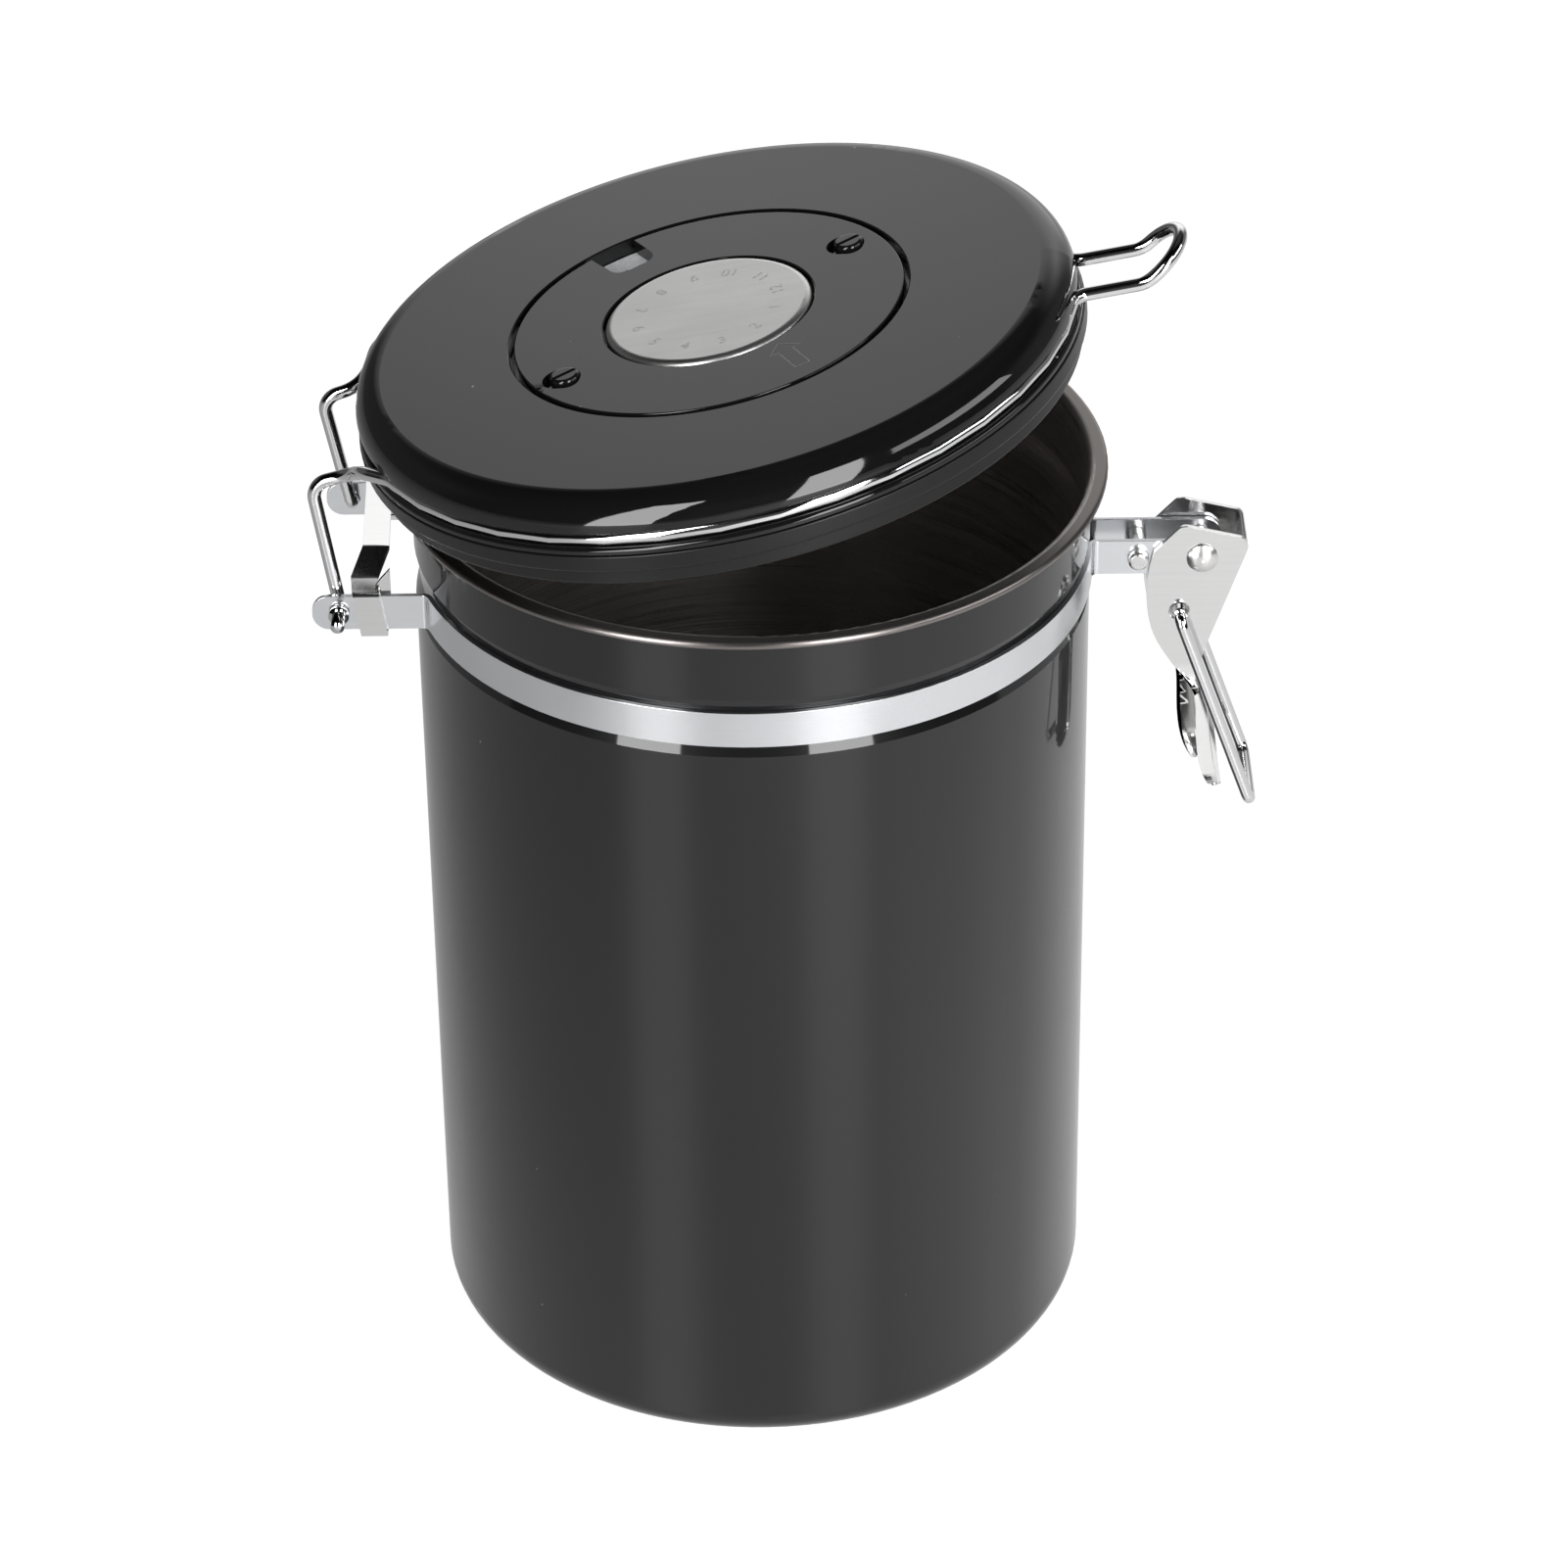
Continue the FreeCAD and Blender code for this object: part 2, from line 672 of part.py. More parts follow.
def latch_bail():
    a = math.radians(BAIL_LEAN)
    end_x = BAIL_X + BAIL_L * math.sin(a)
    end_z = BAIL_Z - BAIL_L * math.cos(a)
    edges = bent([
        V(BAIL_X, -BAIL_PIN_END, BAIL_Z),
        V(BAIL_X, -BAIL_SIDE, BAIL_Z),
        V(end_x, -BAIL_SIDE, end_z),
        V(end_x, BAIL_SIDE, end_z),
        V(BAIL_X, BAIL_SIDE, BAIL_Z),
        V(BAIL_X, BAIL_PIN_END, BAIL_Z),
    ], [BAIL_BEND, BAIL_CORNER, BAIL_CORNER, BAIL_BEND])
    return rod(edges, BAIL_R)


# Lid shell

def lid_cap():
    edge = lid(CAP_R - CAP_EDGE, CAP_EDGE)
    inner = CAP_R - CAP_WALL
    well = RECESS_R + CAP_WALL
    under = RECESS_DEPTH + RECESS_FLOOR
    cap = spun(lid(RECESS_R + RECESS_BEVEL, 0), [
        [lid(edge.x, 0)],
        [corner(edge, CAP_EDGE, 45), lid(CAP_R, CAP_EDGE)],
        [lid(CAP_R, CAP_SKIRT)],
        [lid(inner, CAP_SKIRT)],
        [lid(inner, CAP_EDGE)],
        [corner(edge, CAP_EDGE - CAP_WALL, 45), lid(edge.x, CAP_WALL)],
        [lid(well, CAP_WALL)],
        [lid(well, under)],
        [lid(STEM_HOLE, under)],
        [lid(STEM_HOLE, RECESS_DEPTH)],
        [lid(COLLAR_OUT - COLLAR_WALL, RECESS_DEPTH)],
        [lid(COLLAR_OUT - COLLAR_WALL, COLLAR_TOP)],
        [lid(COLLAR_OUT, COLLAR_TOP)],
        [lid(COLLAR_OUT, RECESS_DEPTH)],
        [lid(RECESS_R, RECESS_DEPTH)],
        [lid(RECESS_R, RECESS_BEVEL)],
    ])
    for i in range(CAP_VENTS):
        spot = polar(CAP_VENT_AT, 360.0 * i / CAP_VENTS, LID_TOP - under)
        cap = cap.cut(Part.makeCylinder(CAP_VENT_R, RECESS_FLOOR, spot))
    return cap


def lid_base():
    nest = CAP_R - CAP_WALL - NEST_PLAY
    nest_top = CAP_SKIRT - NEST_LAP
    floor = GASKET_LOW + LIP_GAP
    ledge = floor - PLATE_T
    bottom = floor + LIP_T
    inside = SKIRT_R - SKIRT_WALL
    rebate = SKIRT_R - SKIRT_WALL / 2.0
    hole = SEAT_R + SEAT_FIT
    return spun(lid(hole, FLANGE_LOW), [
        [lid(inside, FLANGE_LOW)],
        [lid(inside, ledge)],
        [lid(rebate, ledge)],
        [lid(rebate, bottom)],
        [lid(SKIRT_R + LIP_OUT, bottom)],
        [lid(SKIRT_R + LIP_OUT, floor)],
        [lid(SKIRT_R, floor)],
        [lid(SKIRT_R, FLANGE_LOW)],
        [lid(FLANGE_R, FLANGE_LOW)],
        [lid(FLANGE_R, FLANGE_TOP + FLANGE_BEVEL)],
        [lid(FLANGE_R - FLANGE_BEVEL, FLANGE_TOP)],
        [lid(nest, FLANGE_TOP)],
        [lid(nest, nest_top)],
        [lid(nest - NEST_WALL, nest_top)],
        [lid(nest - NEST_WALL, FLANGE_TOP)],
        [lid(hole, FLANGE_TOP)],
    ])


def inner_plate():
    top = GASKET_LOW + LIP_GAP - PLATE_T + PLATE_FIT
    rim = SKIRT_R - SKIRT_WALL / 2.0 - PLATE_FIT
    return spun(lid(PLATE_HOLE, top), [
        [lid(rim, top)],
        [lid(rim, top + PLATE_T)],
        [lid(PLATE_HOLE, top + PLATE_T)],
    ])


def lid_gasket():
    top = FLANGE_LOW + GASKET_FIT
    bore = SKIRT_R + GASKET_BORE_PLAY
    return spun(lid(bore, top), [
        [lid(GASKET_R, top)],
        [lid(GASKET_R, GASKET_STEP - GASKET_BEVEL)],
        [lid(GASKET_R - GASKET_BEVEL, GASKET_STEP)],
        [lid(GASKET_LOW_R, GASKET_STEP)],
        [lid(GASKET_LOW_R, GASKET_LOW - GASKET_BEVEL)],
        [lid(GASKET_LOW_R - GASKET_BEVEL, GASKET_LOW)],
        [lid(GASKET_RELIEF_R, GASKET_LOW)],
        [lid(GASKET_RELIEF_R, GASKET_LOW - GASKET_RELIEF)],
        [lid(bore, GASKET_LOW - GASKET_RELIEF)],
    ])


# Lid wire

def loop_turn():
    # Bend between the ring in the slot and the loop's side.
    y = -(LOOP_Y + WIRE_TURN)
    x = math.sqrt((WIRE_RING + WIRE_TURN) ** 2 - y ** 2)
    across_lid = math.degrees(math.atan2(y, x))
    shift = V(LID_SHIFT, 0, 0)
    centre = V(x, y, WIRE_LEVEL) + shift
    on_side = V(x, -LOOP_Y, WIRE_LEVEL) + shift
    on_ring = polar(WIRE_RING, across_lid, WIRE_LEVEL) + shift
    u = (on_side - centre).normalize()
    w = (on_ring - centre).normalize()
    middle = centre + (u + w).normalize() * WIRE_TURN
    return on_side, middle, on_ring


def wire_half():
    # Shut place: pin, leg, ring, front loop up to its middle.
    loop, loop_mid, loop_ring = loop_turn()
    shift = V(LID_SHIFT, 0, 0)
    clear = WIRE_RING + WIRE_CLEAR
    low = WIRE_LEVEL - WIRE_DIP
    leave = polar(WIRE_RING, 180 + WIRE_EXIT, WIRE_LEVEL) + shift
    edges = bent([
        V(HINGE_X, -HINGE_FACE - WIRE_END_OUT, HINGE_Z),
        V(HINGE_X, -WIRE_FOOT_Y, HINGE_Z),
        V(WIRE_BEND_X, -WIRE_LEG_Y, low),
        V(LID_SHIFT - math.sqrt(clear ** 2 - WIRE_LEG_Y ** 2), -WIRE_LEG_Y, low),
        polar(clear, 180 + WIRE_KNEE, WIRE_LEVEL) + shift,
        leave + polar(WIRE_EXIT_RUN, 90 + WIRE_EXIT, 0),
        leave,
    ], [WIRE_FOOT_BEND, WIRE_BEND, WIRE_DIP_BEND, WIRE_DIP_BEND, WIRE_EXIT_BEND])
    front = V(LID_SHIFT, -WIRE_RING, WIRE_LEVEL)
    edges.append(Part.Arc(leave, front, loop_ring).toShape())
    edges.append(Part.Arc(loop_ring, loop_mid, loop).toShape())
    a = math.radians(LOOP_RISE)
    rise = V(math.cos(a), 0, math.sin(a))
    knee = V(LOOP_X + LID_SHIFT, -LOOP_Y, WIRE_LEVEL)
    run = LOOP_BEND * math.tan(a / 2.0) + LOOP_STRAIGHT
    edges += bent([loop, knee, knee + rise * run], [LOOP_BEND])
    hub = V(knee.x, 0, knee.z) + rise * run
    slant = (rise - V(0, 1, 0)).normalize()
    edges.append(Part.Arc(knee + rise * run, hub + slant * LOOP_Y, hub + rise * LOOP_Y).toShape())
    return rod(edges, WIRE_R)


def lid_wire():
    start = V(HINGE_X, HINGE_FACE + SEAL_GAP, HINGE_Z)
    stop = Part.makeCylinder(STOP_R, STOP_L, start, V(0, 1, 0))
    near = wire_half()
    return near.fuse([mirrored(near), stop, mirrored(stop)]).removeSplitter()


# Date dial

def day_dial():
    return spun(lid(DIAL_IN, RECESS_DEPTH), [
        [lid(RECESS_R - DIAL_PLAY, RECESS_DEPTH)],
        [lid(RECESS_R - DIAL_PLAY, RECESS_DEPTH - DIAL_T)],
        [lid(DIAL_IN, RECESS_DEPTH - DIAL_T)],
    ])


def window():
    # Slot with a round inner end, open to the rim of the ring.
    half = WINDOW_W / 2.0
    deep = LID_TOP - RECESS_DEPTH
    r = WINDOW_ROUND
    low = V(WINDOW_IN + r, r - half, deep)
    high = V(WINDOW_IN + r, half - r, deep)
    d = r * math.sqrt(0.5)
    slot = outline(V(RECESS_R, -half, deep), [
        [V(low.x, -half, deep)],
        [low - V(d, d, 0), V(WINDOW_IN, low.y, deep)],
        [V(WINDOW_IN, high.y, deep)],
        [high + V(-d, d, 0), V(high.x, half, deep)],
        [V(RECESS_R, half, deep)],
    ]).extrude(V(0, 0, RECESS_DEPTH + DISC_PROUD))
    slot.rotate(ORIGIN, UP, WINDOW_ANGLE)
    return slot


def date_ring():
    edge = lid(RING_R - RING_EDGE, RING_EDGE)
    ring = spun(lid(COLLAR_OUT + RING_PLAY, RING_LOW), [
        [lid(RING_R - RING_BEVEL, RING_LOW)],
        [lid(RING_R, RING_LOW - RING_BEVEL)],
        [lid(RING_R, RING_EDGE)],
        [corner(edge, RING_EDGE, 45), lid(edge.x, 0)],
        [lid(RING_HOLE + RING_BEVEL, 0)],
        [lid(RING_HOLE, RING_BEVEL)],
        [lid(RING_HOLE, RING_FLANGE)],
        [lid(COLLAR_OUT + RING_PLAY, RING_FLANGE)],
    ])
    ring = ring.cut(window())
    for turn in (0, 180):
        spot = polar(PEG_AT, PEG_ANGLE + turn, LID_TOP - RING_LOW)
        hole = Part.makeCylinder(PEG_STEM_R + PEG_FIT, RING_LOW, spot)
        rim = spot + V(-PEG_DISH_OFF, 0, RING_LOW - PEG_DISH)
        dish = Part.makeCylinder(PEG_DISH_R, PEG_DISH, rim)
        ring = ring.cut(hole).cut(dish)
    return ring


def peg():
    # Split grip peg on the ring, drawn about the lid axis.
    seat = LID_TOP - PEG_DISH
    high = PEG_UP + PEG_DISH
    dome = at(PEG_R - PEG_DOME, seat + high - PEG_DOME)
    body = spun(at(0, LID_TOP - RING_LOW), [
        [at(PEG_STEM_R, LID_TOP - RING_LOW)],
        [at(PEG_STEM_R, seat)],
        [at(PEG_R, seat)],
        [at(PEG_R, seat + high - PEG_DOME)],
        [corner(dome, PEG_DOME, 45), at(dome.x, seat + high)],
        [at(0, seat + high)],
    ])
    cut = Part.makeBox(4 * PEG_R, PEG_SLOT, PEG_SLOT_DEPTH,
                       V(-2 * PEG_R, -PEG_SLOT / 2.0, seat + high - PEG_SLOT_DEPTH))
    return body.cut(cut)


def ring_pegs():
    pegs = []
    for turn in (0, 180):
        one = peg()
        one.translate(V(PEG_AT, 0, 0))
        one.rotate(ORIGIN, UP, PEG_ANGLE + turn)
        pegs.append(one)
    return Part.makeCompound(pegs)


def disc_carrier():
    seat = DISC_T - DISC_PROUD + PEG_FIT
    under = RECESS_DEPTH + RECESS_FLOOR
    stem = STEM_HOLE - STEM_PLAY
    clip = under + CLIP_GAP
    carrier = spun(lid(0, seat), [
        [lid(CARRIER_R - CARRIER_BEVEL, seat)],
        [lid(CARRIER_R, seat + CARRIER_BEVEL)],
        [lid(CARRIER_R, CARRIER_LOW)],
        [lid(stem, CARRIER_LOW)],
        [lid(stem, clip)],
        [lid(stem + CLIP_OUT, clip)],
        [lid(stem, clip + CLIP_H)],
        [lid(0, clip + CLIP_H)],
    ])
    wide = 4 * STEM_HOLE
    split = Part.makeBox(wide, CLIP_SLOT, clip + CLIP_H - CARRIER_LOW,
                         V(-wide / 2.0, -CLIP_SLOT / 2.0, LID_TOP - clip - CLIP_H))
    return carrier.cut(split)


def month_disc():
    edge = lid(DISC_R - DISC_EDGE, DISC_EDGE - DISC_PROUD)
    inner = DISC_R - DISC_T
    return spun(lid(0, -DISC_PROUD), [
        [lid(edge.x, -DISC_PROUD)],
        [corner(edge, DISC_EDGE, 45), lid(DISC_R, DISC_EDGE - DISC_PROUD)],
        [lid(DISC_R, DISC_DROP)],
        [lid(inner, DISC_DROP)],
        [lid(inner, DISC_EDGE - DISC_PROUD)],
        [corner(edge, DISC_EDGE - DISC_T, 45), lid(edge.x, DISC_T - DISC_PROUD)],
        [lid(0, DISC_T - DISC_PROUD)],
    ])


# Gas release valve

def valve_seat():
    top = FLANGE_TOP - SEAT_RIM_T
    low = FLANGE_TOP + SEAT_DEPTH
    bore = FLAP_STEM_R + FLAP_STEM_PLAY
    seat = spun(lid(bore, top), [
        [lid(SEAT_R + SEAT_RIM, top)],
        [lid(SEAT_R + SEAT_RIM, FLANGE_TOP)],
        [lid(SEAT_R, FLANGE_TOP)],
        [lid(SEAT_R, low)],
        [lid(bore, low)],
    ])
    for i in range(SEAT_PORTS):
        spot = polar(SEAT_PORT_AT, 360.0 * i / SEAT_PORTS, LID_TOP - low)
        seat = seat.cut(Part.makeCylinder(SEAT_PORT_R, low - top, spot))
    return seat


def valve_flap():
    rest = FLANGE_TOP - SEAT_RIM_T - FLAP_GAP
    bulb = FLANGE_TOP + SEAT_DEPTH + FLAP_LIFT + FLAP_GAP
    crown = rest - FLAP_T
    half = FLAP_R / 2.0
    return spun(lid(0, crown), [
        [lid(half, crown)],
        [lid(FLAP_R, rest - FLAP_DISH)],
        [lid(FLAP_R, rest)],
        [lid(FLAP_STEM_R, rest)],
        [lid(FLAP_STEM_R, bulb)],
        [lid(FLAP_BULB_R, bulb)],
        [lid(FLAP_STEM_R, bulb + FLAP_BULB_H)],
        [lid(0, bulb + FLAP_BULB_H)],
    ])


def valve_grille():
    plate = GASKET_LOW + LIP_GAP + PLATE_FIT
    low = plate + GRILLE_T
    collar = PLATE_HOLE - PLATE_FIT
    inside = collar - GRILLE_WALL
    rim = PLATE_HOLE + GRILLE_LAP
    grille = spun(lid(0, plate), [
        [lid(inside, plate)],
        [lid(inside, plate - PLATE_T - GRILLE_UP)],
        [lid(collar, plate - PLATE_T - GRILLE_UP)],
        [lid(collar, plate)],
        [lid(rim, plate)],
        [lid(rim, low - GRILLE_BEVEL)],
        [lid(rim - GRILLE_BEVEL, low)],
        [lid(0, low)],
    ])
    for k in range(GRILLE_RINGS):
        count = max(1, 6 * k)
        for i in range(count):
            spot = polar(GRILLE_STEP * k, 360.0 * i / count, LID_TOP - low)
            grille = grille.cut(Part.makeCylinder(GRILLE_HOLE_R, GRILLE_T, spot))
    return grille


ON_BODY = [
    canister_body,
    front_band,
    rear_band,
    hinge_strap,
    clamp_pin,
    latch_rivet,
    latch_lever,
    latch_bail,
]
ON_LID = [
    lid_cap,
    lid_base,
    inner_plate,
    lid_gasket,
    day_dial,
    date_ring,
    ring_pegs,
    disc_carrier,
    month_disc,
    valve_seat,
    valve_flap,
    valve_grille,
]

for make in ON_BODY:
    make().exportStep("parts/" + make.__name__ + ".step")

for make in ON_LID:
    on_lid(make()).exportStep("parts/" + make.__name__ + ".step")

ajar(lid_wire()).exportStep("parts/lid_wire.step")
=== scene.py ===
import json
import math

import bmesh
import bpy
from mathutils import Matrix, Vector


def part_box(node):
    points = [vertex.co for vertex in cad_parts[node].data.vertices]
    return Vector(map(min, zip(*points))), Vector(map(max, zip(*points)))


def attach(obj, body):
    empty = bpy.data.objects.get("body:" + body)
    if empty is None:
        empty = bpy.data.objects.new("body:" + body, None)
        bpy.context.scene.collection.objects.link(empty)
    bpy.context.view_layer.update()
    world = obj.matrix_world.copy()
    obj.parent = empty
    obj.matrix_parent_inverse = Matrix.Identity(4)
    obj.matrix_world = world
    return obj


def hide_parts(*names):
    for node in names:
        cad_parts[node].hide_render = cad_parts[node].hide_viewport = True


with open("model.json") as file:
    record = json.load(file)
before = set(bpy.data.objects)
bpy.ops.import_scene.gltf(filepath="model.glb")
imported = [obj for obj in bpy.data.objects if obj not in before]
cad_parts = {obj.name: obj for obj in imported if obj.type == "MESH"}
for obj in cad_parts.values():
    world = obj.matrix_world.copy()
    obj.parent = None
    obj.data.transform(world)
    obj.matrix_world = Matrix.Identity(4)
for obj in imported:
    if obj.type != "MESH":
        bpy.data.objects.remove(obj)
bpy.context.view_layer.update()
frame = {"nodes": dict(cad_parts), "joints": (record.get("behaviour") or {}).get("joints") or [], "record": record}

# Coffee canister with a clip lid, a date dial and a gas release valve.
# Metres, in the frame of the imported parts. The lid stands ajar.

MM = 0.001
RECORD = frame["record"]
JOINTS = {joint["name"]: joint for joint in frame["joints"]}
BODY_OF = {node: body for body, nodes in RECORD["behaviour"]["bodies"].items() for node in nodes}

# Lid axes: origin at the middle of the lid's top, Z along the lid axis
LID_TOP = Vector(JOINTS["date_ring_turn"]["pos_m"])
LID_UP = Vector(JOINTS["date_ring_turn"]["axis"]).normalized()
LID_ACROSS = Vector((0, 1, 0))
LID_FORWARD = LID_ACROSS.cross(LID_UP)
LID = Matrix.Translation(LID_TOP) @ Matrix((LID_FORWARD, LID_ACROSS, LID_UP)).transposed().to_4x4()

# Camera fitted to the photograph
FRAME_PX = 1601
FOCAL_PX = 5906.67
SENSOR = 36.0
CAMERA_AT = Vector((0.008875, -0.887519, 0.677421))
CAMERA_AHEAD = Vector((-0.003582, 0.840187, -0.542285))
CAMERA_RIGHT = Vector((0.999937, -0.002786, -0.010921))

# Studio
FLOOR_HALF = 4.0
FLOOR_DROP = 0.1 * MM
SOFTBOX_FAR = 1.3
SOFTBOX_LEFT_TURN = -32.5
SOFTBOX_RIGHT_TURN = 27.0
SOFTBOX_WIDE = 0.46
SOFTBOX_TALL = 1.6
SOFTBOX_MID = 0.82
SOFTBOX_GLOW = 9.0
SIDE_FAR = 1.3
SIDE_TURN = 72.0
SIDE_WIDE = 1.2
SIDE_TALL = 0.5
SIDE_MID = 0.95
SIDE_GLOW = 4.0
FLOOR_ALBEDO = 0.3
FLOOR_SHEEN = 0.06
FLOOR_SHEEN_ROUGH = 0.3
FLOOR_TO_CAMERA = 0.88

# Ramps of the studio: from, to, value at from, value at to
FLOOR_MIRRORED = (-0.28, 0.15, 0.15, 0.5)
SKY_BEHIND = (-0.1, 0.35, 0.05, 1.0)
SKY_ROOF = (0.38, 0.66, 1.12, 0.04)
SKY_LEFT = (-0.42, -0.16, 0.08, 1.0)
SKY_RIGHT = (0.25, 0.6, 1.0, 0.15)

# Finishes: scales per metre, shares and depths
NOISE_LOW = 0.3
NOISE_HIGH = 0.7
SPECK_SMALL = 0.04
SPECK_LARGE = 0.12
DUST_SCALE = 420.0
DUST_ROUGH = 0.4
WIPE_SCALE = 45.0
CLOUD_SCALE = 18.0
CLOUD_DEEP = 0.7
TURNED_R = 60.0 * MM
TURNED_FINENESS = 4200.0
TURNED_LENGTH = 14.0
TURNED_DEPTH = 0.0006 * MM
HANDLED_SCALE = 90.0
DRAWN_FINENESS = 3000.0
DRAWN_LENGTH = 80.0
DRAWN_DULL = 0.92
WAVE_SCALE = 160.0
DISC_FINENESS = 5200.0
DISC_LENGTH = 90.0
DISC_LINE_DEPTH = 0.001 * MM
DISC_SMUDGES = 60.0
DIAL_GRAIN = 900.0
INK_GRAIN = 2500.0
INK_UNEVEN = 0.1

# Colour sockets of the Mix node
MIX_FIRST = 6
MIX_SECOND = 7
MIX_RESULT = 2

# Places of the canister's finishes in its material list
PAINT_SLOT = 0
INSIDE_SLOT = 1
RIM_SLOT = 2

# Edges and marks
EDGE_ANGLE = math.radians(25)
EDGE_STEPS = 3
EDGE_ROUND = 0.5
SMOOTH_ANGLE = math.radians(50)
FLAT_ANGLE = math.radians(0.3)
EVEN_WEIGHT = 80
WELD = 0.002 * MM
FACING_IN = -0.0001 * MM
FACING = 0.5
RIM_LIP = 1.5 * MM
GROOVE_HALF = 5.65 * MM
SHOULDER_TALL = 3.2 * MM
SHOULDER_SLOPE = math.radians(20)
RING_EDGE_R = 32.8 * MM
RING_EDGE = 1.3 * MM
RING_OUT = 34.6 * MM
RING_SHARP = 0.25 * MM
RING_GROWS = 0.5 * MM
RING_HOLE = 19.5 * MM
HOLE_BEVEL = 0.5 * MM
HOLE_REACH = 0.2 * MM
HOLE_KEPT = 0.4
HOLE_IN = 18.85 * MM
PEG_SPOTS = ((24.43 * MM, 15.04 * MM), (-25.63 * MM, -15.04 * MM))
PEG_DISH = 3.65 * MM
RECESS_R = 35.8 * MM
RECESS_IN = 35.6 * MM
RECESS_BEVEL = 0.4 * MM
RECESS_KEPT = 0.5
STRAP_FOLD_Y = -5.0 * MM
STRAP_STEP_Y = -15.2 * MM
STRAP_FAR_Y = 15.0 * MM
STRAP_FOLD_ON = 4.8 * MM
STRAP_FOLD_R = 0.8 * MM
STRAP_FOLD_UP = 3.0 * MM
TAIL_TOP = 132.8 * MM
TAIL_TIP = 104.0 * MM
TAIL_HALF = 5.5 * MM
TAIL_DISH = 1.4 * MM
TAIL_ROWS = 12
TAIL_COLUMNS = 5
TAIL_INNER = -0.3
TAIL_THIN = 1.5 * MM
TAIL_TWIST = math.radians(15)
TAIL_TWIST_RUN = 6.0 * MM
PRINT_UP = 0.02 * MM
PRINT_T = 0.004 * MM
DISC_PROUD = 0.3 * MM
MONTHS = 12
DAYS = 31
NUMBER_R = 12.6 * MM
NUMBER_TALL = 3.2 * MM
NUMBER_TURN = -18.0
DAY_R = 29.6 * MM
DAY_TALL = 3.2 * MM
DAY_SINK = 2.9 * MM
DAY_TURN = 121.0
ARROW_TIP_R = 20.8 * MM
ARROW_TIP_TURN = -53.8
ARROW_POINTS = 116.0
ARROW_LONG = 9.8 * MM
ARROW_WIDE = 6.2 * MM
ARROW_SHAFT = 2.75 * MM
ARROW_HEAD = 3.2 * MM
ARROW_LINE = 0.2 * MM
ARROW_WING_GROWS = 1.8
ARROW_TIP_GROWS = 1.4
ARROW_NECK_GROWS = 0.9
BAIL_HOLE_R = 1.9 * MM
BAIL_HOLE_SIDES = 48
BAIL_HOLE_REACH = 40.0 * MM

# Wires, the lid's one in lid axes
TUBE_SIDES = 24
WIRE_END = 0.35 * MM
BEND_STEP = math.radians(9)
LID_WIRE_R = 1.2 * MM
WIRE_RING = 63.0 * MM
WIRE_LEVEL = -6.8 * MM
WIRE_LEG = [(-73.3, -25.4, -34.85), (-73.3, -17.5, -34.85), (-72.8, -15.3, -11.4), (-65.0, -15.8, -10.5),
            (-62.05, -23.07, -6.8), (-56.8, -27.37, -6.8), (-55.63, -29.58, -6.8)]
WIRE_LEG_BENDS = [1.7, 3.4, 6.0, 6.5, 8.0]
LOOP_TURN_X = 65.33 * MM
LOOP_TURN_Y = -9.4 * MM
LOOP_TURN_R = 3.0 * MM
LOOP_Y = 6.4 * MM
LOOP_X = 75.6 * MM
LOOP_RISE = math.radians(34)
LOOP_BEND = 5.0 * MM
LOOP_RUN = 2.13 * MM
PIN_STOP_R = 1.8 * MM
PIN_STOP_Y = 20.7 * MM
PIN_STOP_LONG = 1.0 * MM
BAIL_R = 1.1 * MM
BAIL_SIDE = 8.9 * MM
BAIL_PIN_END = 4.75 * MM
BAIL_LONG = 40.87 * MM
BAIL_LEAN = math.radians(19.4)
BAIL_BENDS = [1.8, 2.2, 2.2, 1.8]


# Node helpers

def fill(tree, made, inputs):
    # Links sockets and sets plain values.
    for key, value in inputs.items():
        if isinstance(value, bpy.types.NodeSocket):
            tree.links.new(value, made.inputs[key])
        else:
            made.inputs[key].default_value = value


def add(tree, kind, inputs=None, **settings):
    made = tree.nodes.new("ShaderNode" + kind)
    for name, value in settings.items():
        setattr(made, name, value)
    fill(tree, made, inputs or {})
    return made


def maths(tree, operation, a, b=0.0):
    return add(tree, "Math", {0: a, 1: b}, operation=operation).outputs[0]


def between(tree, value, low, high, at_low, at_high, smooth=True):
    kind = "SMOOTHSTEP" if smooth else "LINEAR"
    limits = {"Value": value, "From Min": low, "From Max": high, "To Min": at_low, "To Max": at_high}
    return add(tree, "MapRange", limits, interpolation_type=kind).outputs["Result"]


def spread(tree, noise, low, high):
    # Takes the usual range of a noise to a low and a high value.
    return between(tree, noise, NOISE_LOW, NOISE_HIGH, low, high)


def mixed(tree, share, first, second):
    # Mixes two colours, each a socket or plain red, green and blue.
    made = add(tree, "Mix", {"Factor": share}, data_type="RGBA")
    for key, value in ((MIX_FIRST, first), (MIX_SECOND, second)):
        plain = not isinstance(value, bpy.types.NodeSocket)
        fill(tree, made, {key: (*value, 1.0) if plain else value})
    return made.outputs[MIX_RESULT]


def effect(name, inputs, outputs):
    group = bpy.data.node_groups.new(name, "ShaderNodeTree")
    for label, kind, value in inputs:
        socket = group.interface.new_socket(label, in_out="INPUT", socket_type="NodeSocket" + kind)
        if kind == "Float":
            socket.default_value = value
    for label in outputs:
        group.interface.new_socket(label, in_out="OUTPUT", socket_type="NodeSocketFloat")
    return group, group.nodes.new("NodeGroupInput").outputs, group.nodes.new("NodeGroupOutput").inputs


def place(tree, group, inputs):
    made = tree.nodes.new("ShaderNodeGroup")
    made.node_tree = group
    fill(tree, made, inputs)
    return made.outputs


# Shared surface effects

